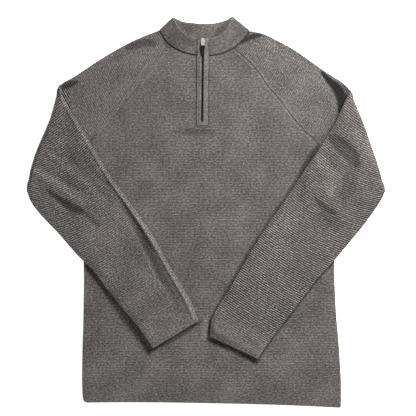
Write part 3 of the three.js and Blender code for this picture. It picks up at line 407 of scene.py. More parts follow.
# Front panel
# The front body, the same knit as the back, with a lower neck and a slot for the zip.
# It lies on the back in soft uneven waves and puckers a little under the foot of the zip.
raglan_front_left = [(-247, 76), (-240, 104), (-225, 131), (-203, 154), (-176, 188), (-153, 216.5),
                     (-125, 251.5), (-80, 308), (-71, 318)]
raglan_front_right = [(261, 76), (242, 104), (216, 129), (192, 148), (166.5, 176.5), (141.5, 209),
                      (116.5, 239), (87, 279), (51.5, 311)]
neck_dip_front = 17.5
zip_foot = (-8.5, 163.3)
zip_top = (-6.7, 330.3)
band_half_width = 11.5
band_corner = 5
front_folds = [
    ([(-52, 150, -0.3), (-31, 153, -1.0), (-12, 151, -0.9), (12, 152, -0.5)], 5, 9),
    ([(-48, 140, 0.3), (-20, 142, 0.6), (10, 142, 0.3)], 6, 10),
    ([(-40, 118, -0.3), (-20, 128, -0.5), (6, 124, -0.3)], 8, 8),
    ([(-170, 140, 0.5), (-110, 60, 0.6), (-80, 10, 0.3)], 34, 34),
    ([(150, 130, 0.5), (110, 60, 0.6), (92, 20, 0.3)], 34, 34),
    ([(-190, -300, 0.4), (-60, -315, 0.6), (60, -310, 0.4)], 30, 30),
    ([(150, -250, 0.5), (205, -300, 0.7), (225, -350, 0.5)], 26, 26),
    ([(-215, -150, 0.3), (-200, -250, 0.5), (-210, -330, 0.3)], 26, 26),
]
# Painted highlight on the front beside the right cuff's end, where a shadow would fall; a weight and a path
# of x, y and half width
front_glows = [(0.8, [(-1, -200, 5), (-3, -222, 6), (-3, -238, 5)])]
# Painted shade and painted shadows on the front: puckers under the zip's foot, shadows under both cuffs and
# along the sleeves' edges
front_shades = [
    (0.35, [(-62, 152, 3), (-46, 152, 6), (-30, 152, 8), (-14, 151, 8), (4, 151, 6), (14, 150, 4)]),
    (0.8, [(-38, 155, 2), (-22, 154.5, 2.6), (-6, 154.5, 2.6), (6, 155, 2)]),
    (0.6, [(-34, 149, 2), (-18, 148.5, 2.4), (-2, 149, 2.4), (10, 149.5, 2)]),
    (1.0, [(-104, -262, 4), (-82, -251, 5), (-60, -240, 4.5), (-38, -226, 4.5), (-14, -209, 4)]),
    (1.1, [(8, -243, 3), (18, -248, 5.5), (34, -253, 4.5), (62, -263, 3.5), (78, -273, 5.5), (95, -284, 6)]),
    (1.1, [(218, 134, 4), (205, 112, 7), (190, 88, 9), (178, 66, 6)]),
    (0.75, [(178, 66, 5), (153, 30, 5), (122, -14, 4.5), (82, -75, 4), (41, -146, 3.5), (16, -188, 2.5)]),
    (1.1, [(243, -93, 2.4), (212, -126, 2.6), (180, -168, 2.6), (151, -206, 2.8), (121, -244, 2.8),
           (97, -281, 3.4)]),
    (1.05, [(-109, -267, 5.5), (-137, -228, 5.5), (-162, -197, 4), (-199, -144, 2.8), (-228, -106, 2.8)]),
]


def zip_x(y):
    """The zip's middle line, which leans a little."""
    up = np.asarray(y, float) - zip_foot[1]
    return zip_foot[0] + (zip_top[0] - zip_foot[0]) * up / (zip_top[1] - zip_foot[1])


def front_lift(x, y, edge):
    by_zip = (1 - ease(18, 55, np.abs(x - zip_x(y)))) * ease(120, 150, y)
    lift = 0.7 + folds_lift(front_folds, x, y) + 0.35 * ripple(x, y, 38, 0.4)
    return np.maximum(0, lift * ease(0, 26, edge) * (1 - by_zip))


# Painted shading of the front: its painted shadows, painted shade along the slot beside the zip, painted
# highlights subtracted, the left chest darker and the lower body lighter
def front_shade(x, y, dark):
    beside_zip = np.abs(x - zip_x(y)) + 40 * (1 - ease(156, 162, y))
    dark = np.maximum(dark, hollow_shade(front_shades, x, y))
    dark = np.maximum(dark, 0.6 * (1 - ease(11.5, 16, beside_zip))) - hollow_shade(front_glows, x, y)
    return dark + 0.12 * ease(-20, -100, x) * ease(20, 90, y) - 0.15 * ease(-150, -290, y)


front = cloth_piece("front_panel_knit", body_panel(1, raglan_front_left, raglan_front_right, neck_dip_front,
                                                   3.2, 4.2, front_lift, front_shade))
front.data.materials.append(body_knit)
slot_half = band_half_width + 0.12
slot_low, slot_high = zip_foot[1] - 0.12, 400
bpy.ops.mesh.primitive_cube_add(size=1, location=(0, 0, 0))
cutter = bpy.context.object
cutter.name = "zip_slot_cutter"
corners = cutter.data.vertices
for corner in corners:
    y = slot_high if corner.co.y > 0 else slot_low
    x = float(zip_x(y)) + (slot_half if corner.co.x > 0 else -slot_half)
    corner.co = (x * 0.001, y * 0.001, 0.03 if corner.co.z > 0 else -0.01)
weight = cutter.data.attributes.new("bevel_weight_edge", "FLOAT", "EDGE")
for edge in cutter.data.edges:
    a, b = (corners[v].co for v in edge.vertices)
    upright, at_foot = abs(a.z - b.z) > 0.01, max(a.y, b.y) < slot_low * 0.001 + 1e-6
    weight.data[edge.index].value = 1 if upright and at_foot else 0
bevel = cutter.modifiers.new("round foot", "BEVEL")
bevel.limit_method = "WEIGHT"
bevel.width = (band_corner + layer_gap) * 0.001
bevel.segments = 6
bpy.ops.object.modifier_apply(modifier="round foot")
cut = front.modifiers.new("slot", "BOOLEAN")
cut.object = cutter
cut.operation = "DIFFERENCE"
cut.solver = "EXACT"
bpy.context.view_layer.objects.active = front
bpy.ops.object.modifier_apply(modifier="slot")
bpy.data.objects.remove(cutter)
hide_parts("front_panel")
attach(front, "garment")

# Sleeves
# Raglan sleeves in the same yarn with wider ridges round the arm, closed by one underarm seam.
# Each is a flat tube turned over at the shoulder's fold and laid across the front.
left_arm = {
    "shoulder": [(-90, 345), (-128, 330), (-151, 319), (-185, 300), (-221, 277), (-255, 254.5),
                 (-268.5, 247), (-277.6, 240.8)],
    "foot": (-339.1, 37.5),
    "over": [(-277.6, 240.8), (-271.5, 216), (-243, 169), (-211, 115), (-176, 59), (-136, 5.5), (-107, -36),
             (-67, -106.5), (-29, -171), (-15, -207)],
    "under": [(-339.1, 37.5), (-333.5, 22), (-325.5, 9), (-306.5, -13.5), (-281, -40), (-246, -80),
              (-212, -114.5), (-192.5, -141), (-153, -190.5), (-128, -220.5), (-101, -258.5)],
    "bow": [0, -5.65, -6.45, -6.75, -5.05, -2.35, 0.1, 1.3, 1, -1.3, 0],
    "rise": (3, 40),
    "lie": [(9.85, 0), (9.95, 2.2), (10.1, 3.4), (10.2, 1.6), (10.2, 0), (10.2, 0), (10.4, -1), (10.9, -3)],
    "folds": [
        ([(-259, 179, -0.5), (-252, 150, -0.8), (-244, 123, -0.6), (-229, 95, -0.8), (-212, 72, -1),
          (-195, 59, -1), (-177, 42, -1.1), (-162, 19, -1.4), (-147, -4, -2), (-132, -27, -2.6),
          (-119, -51, -3.1), (-107, -74, -3.3), (-96, -99, -3.2), (-84, -125, -2.8), (-71, -144, -2.2),
          (-62, -163, -1.2), (-52, -184, -0.5), (-39, -205, -0.2)], 8.5, 14),
        ([(-274, 218, 0.4), (-248, 171, 0.6), (-217, 118, 0.9), (-183, 60, 1.1), (-143, 4, 1.3),
          (-115, -38, 1.5), (-92, -74, 1.7), (-69, -116, 1.8), (-44, -160, 1.8), (-25, -198, 1.2)], 8, 7),
        ([(-329, 76, 0.5), (-309, 63, 1.2), (-284, 49, 1.6), (-259, 32, 1.5), (-233, 19, 1.1),
          (-206, 11, 0.6)], 16, 9),
        ([(-301, 38, -0.8), (-282, 23, -1.5), (-263, 9, -1.9), (-240, 2, -1.7), (-225, -10, -1),
          (-210, -25, -0.5)], 9, 11),
        ([(-312, 118, 0.6), (-286, 99, 1), (-255, 76, 1.2), (-233, 57, 1.2), (-214, 34, 1), (-191, 11, 0.7),
          (-172, -15, 0.5)], 9, 16),
        ([(-278, 65, -0.6), (-255, 49, -0.9), (-236, 38, -0.7)], 8, 8),
        ([(-263, 106, -0.8), (-252, 91, -0.9), (-236, 80, -0.6)], 8, 8),
        ([(-221, 0, 0.6), (-206, -19, 0.6)], 7, 7),
        ([(-282, 217, -0.8), (-288, 190, -1), (-295, 163, -0.7)], 9, 9),
        ([(-329, 57, -0.6), (-312, 38, -0.7)], 9, 9),
        ([(-202, -133, 0.6), (-168, -179, 1.2), (-138, -217, 1.5), (-111, -249, 1.5)], 20, 8),
        ([(-73, -186, -0.6), (-43, -190, -0.8)], 10, 10),
    ],
    "yoke": [
        ([(-200, 298, -0.9), (-176, 290, -0.9)], 18, 18),
        ([(-136, 322, -0.9), (-112, 330, -0.9), (-92, 332, -0.9)], 12, 12),
        ([(-160, 268, 0.8), (-120, 300, 0.8)], 20, 20),
    ],
    # hollow_shades and pocket_shades are painted shade, glows are painted highlights; each is a weight and a
    # path of x, y and half width
    "hollow_shades": [
        (1.15, [(-273, 236, 4), (-264, 240, 8), (-256, 243, 7), (-247, 246, 4)]),
        (0.95, [(-150, 311, 5), (-132, 318, 9), (-114, 322, 9), (-99, 319, 6)]),
        (0.6, [(-186, 288, 4), (-172, 292, 6), (-160, 296, 4)]),
        (0.75, [(-94, 341, 4), (-88, 334, 3)]),
    ],
    "pocket_shades": [
        (1.1, [(-302, 42, 2), (-284, 29, 5), (-266, 16, 9.5), (-252, 7, 10.5), (-238, 1, 7.5)]),
        (0.36, [(-262, 122, 8), (-236, 92, 11), (-211, 64, 12), (-186, 38, 11), (-164, 13, 9)]),
        (0.35, [(-238, 1, 6), (-222, -12, 6), (-206, -25, 4)]),
        (0.3, [(-268, 196, 5), (-258, 160, 9), (-250, 128, 9), (-252, 104, 8), (-236, 84, 8)]),
        (0.35, [(-262, 108, 5), (-248, 92, 10), (-232, 74, 10), (-216, 58, 7)]),
        (0.14, [(-214, 20, 20), (-170, -60, 34), (-130, -130, 36), (-90, -190, 30)]),
    ],
    "glows": [
        (0.56, [(-324, 80, 4), (-302, 66, 8), (-277, 46, 9), (-254, 28, 8), (-232, 16, 5)]),
        (0.42, [(-320, 108, 6), (-302, 104, 13), (-282, 92, 12), (-264, 74, 7)]),
        (0.2, [(-290, 150, 8), (-278, 128, 10)]),
        (0.22, [(-222, 36, 7), (-200, 10, 10), (-186, -16, 10), (-168, -40, 8)]),
        (0.18, [(-120, -214, 8), (-98, -232, 12), (-66, -226, 10)]),
    ],
    # edge_glow is a painted highlight along the over edge: its strength and its reach at the shoulder and at
    # the cuff in mm; tone is an even painted shade on the yoke and under layer
    "edge_glow": (0.24, 5, 16),
    "tone": 0.27,
    "ridges": [1.05, 0.95, 0.6, 0.5, 0.5],
    "axis": (0.552, -0.834),
    "start": (-305, 140),
}
right_arm = {
    "shoulder": [(83, 344), (109, 338), (134, 326), (169.5, 306), (204, 282), (230, 264), (255, 248),
                 (265, 239.5), (271.5, 231.7)],
    "foot": (338.3, 38.4),
    "over": [(271.5, 231.7), (262.5, 211), (246, 174), (218, 126.5), (187, 81), (157, 35), (126.5, -9.5),
             (86.5, -70.5), (45, -142.5), (17, -188), (9, -207), (6, -235.5)],
    "under": [(338.3, 38.4), (331, 22.5), (320.5, 6), (295.5, -28), (270, -59), (243, -91), (212, -124),
              (180, -166), (151, -204), (121.5, -242), (97, -278.5)],
    "bow": [0, -4.6, -3.6, -1.85, -1.35, -1.6, -1.35, -1.35, -2.1, -3.85, 0],
    "rise": (3, 62),
    "lie": [(9.85, 0), (9.95, 2), (10.1, 3.2), (10.2, 1.4), (10.2, 0), (10.2, 0), (10.7, 0), (11.6, -0.6)],
    "folds": [
        ([(241, 144, -1), (254, 133, -1.8), (269, 118, -1.9), (284, 103, -1.2)], 11, 11),
        ([(284, 103, -0.9), (279, 84, -1.2), (277, 61, -1.3), (275, 38, -1.2), (263, 23, -1.1),
          (260, 8, -0.8)], 11, 11),
        ([(231, 125, 0.9), (242, 110, 1.4), (258, 95, 1.3), (265, 84, 0.8)], 9, 9),
        ([(231, 93, -0.5), (244, 82, -0.9), (256, 76, -0.5)], 6, 6),
        ([(212, 76, 0.8), (231, 70, 1.3), (246, 61, 1.2), (254, 42, 0.8)], 12, 12),
        ([(208, 47, 1), (227, 40, 1.4), (239, 23, 1)], 10, 10),
        ([(206, 23, -1.2), (218, 11, -1.9), (233, 0, -1.9), (244, -13, -1.5), (256, -27, -0.8)], 7, 10),
        ([(180, 61, -1.4), (185, 40, -1)], 9, 9),
        ([(277, 165, 0.8), (296, 127, 0.9), (313, 89, 0.8), (326, 51, 0.6)], 10, 10),
        ([(263, 154, 0.8), (284, 144, 0.9)], 8, 8),
        ([(14, -224, 1.2), (41, -238, 1)], 12, 12),
        ([(75, -243, -0.8), (94, -255, -0.8)], 12, 12),
        ([(106, -6, 0.8), (125, -53, 0.9), (111, -95, 0.7)], 18, 18),
    ],
    "yoke": [
        ([(58, 318, -1.6), (75, 329, -2), (94, 335, -2), (112, 338, -1.2)], 8, 8),
        ([(112, 312, 1.2), (150, 296, 1.2), (180, 272, 1.2)], 24, 24),
        ([(222, 262, -0.9), (240, 244, -0.9), (254, 228, -0.9), (256, 205, -0.9)], 12, 12),
    ],
    # hollow_shades and pocket_shades are painted shade, glows are painted highlights; each is a weight and a
    # path of x, y and half width
    "hollow_shades": [
        (1.5, [(219, 265, 3), (231, 251, 6.5), (243, 239, 9.5), (252, 228, 11.5), (257, 215, 12),
               (256, 203, 8.5), (252, 190, 4)]),
        (1.25, [(60, 319, 3), (75, 328, 6), (93, 334, 6), (112, 339, 3)]),
        (0.5, [(250, 185, 7), (243, 162, 7), (228, 146, 7), (216, 138, 6)]),
    ],
    "pocket_shades": [
        (0.9, [(232, 144, 5), (246, 134, 13), (262, 120, 18), (276, 104, 16), (284, 92, 9)]),
        (0.5, [(276, 104, 12), (274, 76, 11), (266, 50, 10), (258, 26, 8)]),
        (0.85, [(208, 25, 3), (217, 13, 6.5), (229, 4, 8), (241, -1, 5)]),
        (0.4, [(222, -4, 8), (236, -14, 12), (248, -28, 9)]),
        (0.4, [(180, 62, 5), (184, 40, 7), (178, 22, 5)]),
    ],
    "glows": [
        (0.62, [(206, 112, 7), (220, 94, 13), (231, 72, 14), (235, 50, 13), (233, 34, 8)]),
        (0.4, [(205, 52, 7), (218, 38, 9)]),
        (0.25, [(296, 130, 10), (312, 92, 10), (322, 56, 8)]),
        (0.22, [(268, 178, 8), (282, 150, 8)]),
        (0.22, [(176, 10, 10), (160, -30, 14), (140, -66, 12)]),
    ],
    # edge_glow is a painted highlight along the over edge, here none; tone is an even painted shade on the
    # yoke and under layer
    "edge_glow": (0, 5, 10),
    "tone": 0.14,
    "ridges": [1.1, 1.15, 0.95, 1, 1.02],
    "axis": (-0.53, -0.848),
    "start": (301, 136),
}
neck_bulge = 1.9
turn_radius = 3.65
# The same yarn as the body in paler tones: painted light on the sleeves, partly making up for their deeper
# painted groove shade
sleeve_tones = (0.0605, 0.0535, 0.0505), (0.15, 0.1335, 0.126), (0.318, 0.293, 0.28)
sleeve_knit = knitwear("sleeve knit", sleeve_tones, 0.0039, 0.0019, 1.3, 0.3, 0.0011, 1.3)


def through(values, t):
    """A value read through a short table by its share of the rows."""
    values = np.array(values, float)
    at = np.clip(t, 0, 1) * (len(values) - 1)
    i = np.minimum(np.floor(at).astype(int), len(values) - 2)
    f = 0.5 * (at - i) + 0.5 * ease(0, 1, at - i)
    return values[i] + (values[i + 1] - values[i]) * f


def sleeve(name, side, arm, seam_front, seam_back, step):
    """A sleeve as rings from the neck, over the shoulder's fold, to the cuff."""
    shares = raglan_shares(1.4 * step)
    front_seam, back_seam = seam_points(seam_front, side, shares), seam_points(seam_back, side, shares)
    shoulder, over, under = Edge(arm["shoulder"]), Edge(arm["over"]), Edge(arm["under"])
    corner, foot = shoulder.at(1.0), np.array(arm["foot"], float)
    out = side * np.array([corner[1] - foot[1], foot[0] - corner[0]]) / np.hypot(*(foot - corner))
    down = np.array([0, 0, -1.0])
    low_z = cloth + layer_gap / 2
    high, reach = arm["rise"]
    glow, glow_near, glow_far = arm["edge_glow"]
    flat = dict(bulge=0, seam=1, neck=remote, cuff=remote, reach=0, sink=0, rise=0, bow=0, glow=0,
                loop=layer_gap / 2, normal=down, z=low_z)
    rings = []

    def rise_at(share):
        return high * (1 - ease(5, reach, (1 - share) * shoulder.length))

    for k in range(len(shares) - 1, -1, -1):
        neck = (1 - shares[k]) * raglan_length
        share = 0.9 * (1 - shares[k])
        rings.append(dict(flat, kind="yoke", a=shoulder.at(share), front=front_seam[k], back=back_seam[k],
                          neck=neck, bulge=neck_bulge * (1 - ease(0, 60, neck)), rise=rise_at(share),
                          seam=1 - ease(0, 10, raglan_length - neck)))
    underarm = front_seam[0]
    for t in np.linspace(0, 1, 12)[1:]:
        b = underarm + (foot - underarm) * t
        share = 0.9 + 0.1 * t
        rings.append(dict(flat, kind="under", a=shoulder.at(share), front=b, back=b, bow=t * t,
                          rise=rise_at(share)))
    turns = 18
    for k in range(1, turns):
        sine, cosine = math.sin(math.pi * k / turns), math.cos(math.pi * k / turns)
        rings.append(dict(flat, kind="turn", a=corner, front=foot, back=foot, bow=1, reach=turn_radius * sine,
                          normal=np.array([*(out * sine), -cosine]), z=low_z + turn_radius * (1 - cosine),
                          rise=high * (1 - k / turns), loop=0.15 + 0.45 * k / turns))
    lie = np.array(arm["lie"])
    for d in np.unique(np.concatenate([np.arange(0, over.length - 4, step), over.length - edge_steps])):
        t = d / over.length
        b = under.at(t)
        # Painted highlight along the over edge, weaker near the shoulder and towards the cuff
        shine = glow * (0.35 + 0.65 * ease(0.1, 0.6, t)) * (1 - 0.6 * ease(0.7, 1, t))
        ridge = through(arm["ridges"], t) * (0.3 + 0.7 * ease(12, 100, over.length - d))
        rings.append(dict(flat, kind="arm", a=over.at(t), front=b, back=b, cuff=over.length - d,
                          normal=-down, z=through(lie[:, 0], t), sink=through(lie[:, 1], t), loop=0.6,
                          ridge=ridge, glow=shine, glow_reach=glow_near + (glow_far - glow_near) * t,
                          bow=1 - ease(0, 0.22, t)))

    def place(ring, end, d, off):
        """Points at distances d from the fold towards an end, moved off the middle layer."""
        a = ring["a"]
        width = np.hypot(*(end - a))
        t = d / width
        along = (end - a) / width
        bend = -side * ring["bulge"] * 4 * t * (1 - t)
        taper = 0.3 + 0.7 * ease(0, 0.07, t) * ease(0, 0.07, 1 - t)
        bow = ring["bow"] * through(arm["bow"], t) + ring["reach"] * taper
        p = a + (end - a) * t[:, None] + bend[:, None] * np.array([along[1], -along[0]]) + bow[:, None] * out
        away = neck_half_gap * max(0, 1 - ring["neck"] / 3)
        p = p + away * np.array([side * abs(along[1]), -abs(along[0])])
        z = ring["z"] - ring["sink"] * ease(0.66, 1, t) + ring["rise"] * (1 - ease(3, 13, d))
        aside = np.stack([taper, taper, np.ones(len(t))], -1) * ring["normal"]
        return np.concatenate([p, z[:, None]], -1) + aside * off[:, None]

    def layer(ring, end, sign):
        """One layer of a ring: its inner and outer points and its painted shading, from the fold to the seam.
        """
        kind, loop_out = ring["kind"], ring["loop"] + cloth
        width = np.hypot(*(end - ring["a"]))
        near = loop_out + np.array([0, 0.9, 1.9, 3, 4.2, 5.5, 7, 8.7, 10.6, 13])
        d = np.concatenate([near, np.linspace(loop_out + 16, width - 4.2, 54), width - edge_steps[::-1]])
        edge = width - d
        thick = cloth * (1 - ring["seam"] * (1 - rounded(edge)))
        if kind == "yoke":
            thick = thick * (0.8 + 0.2 * ease(0, 2.6, edge))
        thick = np.minimum(thick, cloth * rounded(ring["cuff"])) * at_neck(ring["neck"])
        x, y = place(ring, end, d, np.zeros(len(d)))[:, :2].T
        lift, dark = np.zeros(len(d)), np.zeros(len(d))
        if kind == "arm" and sign > 0:
            folds = folds_lift(arm["folds"], x, y)
            lift = 2.5 + 1.8 * folds + 0.5 * ripple(x, y, 24, side)
            lift = 0.5 * (lift + np.sqrt(lift ** 2 + 0.4))
            lift *= ease(loop_out, 8, d) * ease(0, 16, edge) * ease(0, 14, ring["cuff"])
            # Painted shade in the fold troughs, painted highlight on the fold ridges, painted shade in the
            # pockets, and painted highlights from the glows and along the over edge
            dark = 0.3 * np.maximum(0, -folds) - 0.13 * np.maximum(0, folds)
            dark = np.maximum(dark, hollow_shade(arm["pocket_shades"], x, y)) - hollow_shade(arm["glows"], x, y)
            dark = dark - ring["glow"] * (1 - ease(0.4, 1, d / ring["glow_reach"]))
        if kind == "yoke" and sign < 0:
            lift = np.maximum(0, 0.9 + folds_lift(arm["yoke"], x, y) + 0.25 * ripple(x, y, 30, side))
            lift *= ease(loop_out, 26, d) * ease(0, 20, edge) * ease(0, 14, ring["neck"]) * ease(80, 150, y)
        # Painted shade on the yoke and under layer: the arm's even tone, the hollows' painted shade and the
        # seams' painted shade
        if kind in ("yoke", "under") and sign < 0:
            dark = np.maximum(arm["tone"], hollow_shade(arm["hollow_shades"], x, y))
        if kind == "yoke" and sign < 0:
            dark = np.maximum(dark, seam_shade(x, y, edge, ring["neck"], 1, arm["tone"]))
        gap = ring["loop"] + (layer_gap / 2 - ring["loop"]) * ease(loop_out, loop_out + 12, d)
        off = sign * (gap + lift)
        return place(ring, end, d, off), place(ring, end, d, off + sign * thick), dark

    axis = np.array(arm["axis"])
    cross = np.array([-axis[1], axis[0]]) * -side
    yoke_axis = (corner - arm["shoulder"][0]) / np.hypot(*(corner - arm["shoulder"][0]))
    bends = 14
    rows = []
    for ring in rings:
        front, back, loop_out = ring["front"], ring["back"], ring["loop"] + cloth
        inner, outer, dark = [[part[::-1]] for part in layer(ring, front, -1)]
        for j in range(1, bends):
            angle = math.pi * (j / bends - 0.5)
            end = front + (back - front) * (0.5 + 0.5 * math.sin(angle))
            for radius, row in ((ring["loop"], inner), (loop_out, outer)):
                row.append(place(ring, end, np.array([loop_out - radius * math.cos(angle)]),
                                 np.array([radius * math.sin(angle)])))
            # Painted highlight round the fold's loop
            dark.append([-ring["glow"]])
        for row, part in zip((inner, outer, dark), layer(ring, back, 1)):
            row.append(part)
        inner, outer, dark = np.concatenate(inner), np.concatenate(outer), np.concatenate(dark)
        x, y = outer[:, 0], outer[:, 1]
        course, wale = x * yoke_axis[0] + y * yoke_axis[1], -x * yoke_axis[1] + y * yoke_axis[0]
        if ring["kind"] in ("turn", "arm"):
            from_start = np.stack([x, y], -1) - arm["start"]
            along, wale = from_start @ axis, from_start @ cross
            w = np.clip(wale, -90, 90)
            course = along + (0.0018 * w * w - 0.071 * w) * (1 - 0.75 * ease(60, 300, along))
        ridge = ring.get("ridge", 0.35 if ring["kind"] == "yoke" else arm["ridges"][0])
        rows.append((outer, inner, course, wale, ridge, dark))
    return cloth_piece(name, rows)


for name, side, arm, seams in (("left", -1, left_arm, (raglan_front_left, raglan_back_left)),
                               ("right", 1, right_arm, (raglan_front_right, raglan_back_right))):
    tube = sleeve(f"sleeve_{name}_knit", side, arm, *seams, 3.2)
    tube.data.materials.append(sleeve_knit)
    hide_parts(f"sleeve_{name}")
    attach(tube, "garment")

# Collar
# A low standing collar knitted plain and fine in one band, sewn to the neck seam all round.
# Its front lies on its back, and the top edge is a soft rolled selvedge.
collar_left, collar_right = np.array([-90, 345.0]), np.array([83, 344.0])
collar_top_front = [(-63.5, 370.4), (-59.5, 364.5), (-54, 352), (-43, 340), (-30, 333), (-18, 330.5),
                    (-6.7, 330), (5.5, 330), (18.8, 332.4), (27, 338), (34, 344.5), (43, 360),
                    (49.2, 371.9)]
collar_top_back = [(-63.5, 370.4), (-57, 367), (-44.5, 361.5), (-22.4, 358.5), (-4.6, 357.3), (14.4, 358.3),
                   (27, 361), (38, 364.5), (44, 368.5), (49.2, 371.9)]
# Painted shade in the collar's inner corners and beside the zip; a weight and a path of x, y and half width
collar_shades = [
    (0.5, [(-44, 354, 5), (-36, 349, 7), (-29, 342, 5)]),
    (0.6, [(33, 352, 4), (26, 345, 7), (19, 338, 5)]),
    (0.45, [(64, 338, 4), (54, 330, 5), (47, 322, 3)]),
    (0.35, [(-44, 328, 5), (-34, 322, 7), (-26, 318, 6)]),
]
collar_height = 37
collar_knit = knitwear("collar knit", body_tones, 0.0021, 0.0017, 0.35, 0.45, 0.0004, 0.4)


def neck_seam(left_join, right_join, dip):
    """The neck seam of one face, from one collar corner to the other."""
    a, b = np.array(left_join, float), np.array(right_join, float)
    return Edge(np.concatenate([sagging(collar_left, a, neck_bulge, 2, np.arange(8) / 8),
                                sagging(a, b, dip, neck_squareness, np.arange(40) / 40),
                                sagging(b, collar_right, neck_bulge, 2, np.arange(9) / 8)]))


def collar_band():
    """The collar as rows from the neck seam to the top edge, each from zip edge to zip edge."""
    foot_front = neck_seam(raglan_front_left[-1], raglan_front_right[-1], neck_dip_front)
    foot_back = neck_seam(raglan_back_left[-1], raglan_back_right[-1], neck_dip_back)
    top_front, top_back = Edge(collar_top_front), Edge(collar_top_back)
    half, loop_out = band_half_width + 0.12, cloth + layer_gap / 2
    foot_zip = [foot_front.share_at_x(float(zip_x(297)) + s * half) for s in (-1, 1)]
    top_zip = [top_front.share_at_x(float(zip_x(330)) + s * half) for s in (-1, 1)]
    ends = np.array([0, 0.4, 0.9, 1.6, 2.4])
    heights = np.concatenate([ends, np.linspace(4, 33, 14), [34.2, 34.9, 35.5, 36, 36.4, 36.75, 37]])
    rows = []
    for v in heights / collar_height:
        from_top = (1 - v) * collar_height
        raised = np.array([0, neck_half_gap * (1 - v)])
        thick = cloth * min(float(rounded(from_top)), 0.6 + 0.4 * float(ease(0, 2.2, v * collar_height)))
        roll = 0.5 * float(ease(0.8, 0.97, v)) * float(ease(0, 1.5, from_top))

        def front_half(k, share):
            foot = foot_front.at(k + (foot_zip[k] - k) * share)
            return foot + (top_front.at(k + (top_zip[k] - k) * share) - foot) * v + raised

        def rear(share):
            foot = foot_back.at(share)
            return foot + (top_back.at(share) - foot) * v + raised

        long = [1.12 * np.hypot(*(front_half(k, 0.0) - front_half(k, 1.0))) for k in (0, 1)]
        corner_share = loop_out / (1.05 * np.hypot(*(rear(0.0) - rear(1.0))))
        inner, outer = [], []

        def add_front(k, shares):
            z = front_lies + 1.1 * np.sin(np.pi * np.minimum(shares * 1.2, 1)) * v * v
            wall = thick * rounded((1 - shares) * long[k] + 1)
            wall = wall + roll * ease(0, 0.1, shares) * ease(0, 0.1, 1 - shares)
            for row, level in ((inner, z), (outer, z + wall)):
                row.append(np.concatenate([front_half(k, shares), level[:, None]], -1))

        def add_turn(k, way):
            front_point = front_half(k, loop_out / long[k])
            back_point = rear(abs(k - corner_share))
            tip = front_half(k, 0.0)
            for j in range(1, 12):
                angle = math.pi * (0.5 - j / 12) * way
                centre = back_point + (front_point - back_point) * (0.5 + 0.5 * math.sin(angle))
                for radius, row in ((layer_gap / 2, inner), (layer_gap / 2 + thick, outer)):
                    p = centre + (tip - centre) * radius * math.cos(angle) / loop_out
                    row.append(np.array([[*p, loop_out + radius * math.sin(angle)]]))

        from_zip = [np.concatenate([1 - ends / reach, np.linspace(1 - 4 / reach, loop_out / reach, 34)])
                    for reach in long]
        add_front(0, from_zip[0])
        add_turn(0, 1)
        p = rear(np.linspace(corner_share, 1 - corner_share, 60))
        for row, level in ((inner, cloth), (outer, cloth - thick)):
            row.append(np.concatenate([p, np.full((60, 1), level)], -1))
        add_turn(1, -1)
        add_front(1, from_zip[1][::-1])
        inner, outer = np.concatenate(inner), np.concatenate(outer)
        x, y, z = outer.T
        wale = np.concatenate([[0], np.cumsum(np.hypot(*np.diff(outer[:, :2], axis=0).T))])
        # Painted shading: the front layer darker on the left and brighter on the right, painted shade in its
        # corners and at the neck seam, and a painted highlight along the top edge
        dark = np.where(z > loop_out, 0.47 - 0.78 * ease(-60, 25, x), 0) + hollow_shade(collar_shades, x, y)
        dark = dark + 1.4 * (1 - float(ease(0.6, 2.5, v * collar_height)))
        dark = dark - (0.45 + 0.4 * ease(0, 20, x)) * float(ease(3, 1.2, from_top))
        rows.append((outer, inner, v * collar_height, wale, 0.6 + 0.4 * float(ease(0.85, 1, v)), dark))
    return rows


collar = cloth_piece("collar_knit", collar_band())
collar.data.materials.append(collar_knit)
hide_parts("collar")
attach(collar, "garment")

# Zip tapes and coil
# Two black woven tapes lie under the knit band, sewn to the front on both sides of the slot.
# A fine moulded coil joins them all the way down, because the slider stands at the top.
tape_under, tape_thick = 3.7, 0.7
tape_inner, tape_outer = 1.1, 10.6
coil_low, coil_high = 172, 318
coil_pitch, coil_height = 1.3, 4.9
tape_tones = (0.004, 0.004, 0.0045), (0.009, 0.0088, 0.009), (0.02, 0.0195, 0.02)
tape_weave = knitwear("tape weave", tape_tones, 0.0009, 0.0007, 0.6, 0.6, 0.0002, 0.5)


def tape_strip(side):
    """One tape as rows from its foot to its top."""
    across = np.array([0, 0.04, 0.12, 0.3, 0.5, 0.7, 0.88, 0.96, 1])
    crown = np.array([0.55, 0.85, 1, 1, 1, 1, 1, 0.85, 0.55])
    rows = []
    for y in np.linspace(zip_foot[1] + 2, zip_top[1] - 1.2, 90):
        out_to = tape_outer - 2 * (1 - float(ease(0, 3.4, y - zip_foot[1] - 2)))
        x = float(zip_x(y)) + side * (tape_inner + (out_to - tape_inner) * across)
        outer, inner = (np.stack([x, np.full(len(x), y), tape_under + proud], -1)
                        for proud in (tape_thick * crown, 0 * crown))
        rows.append((outer, inner, y, x, 1, 0))
    return rows


for name, side in (("left", -1), ("right", 1)):
    tape = cloth_piece(f"zip_tape_{name}_weave", tape_strip(side))
    tape.data.materials.append(tape_weave)
    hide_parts(f"zip_tape_{name}")
    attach(tape, "garment")


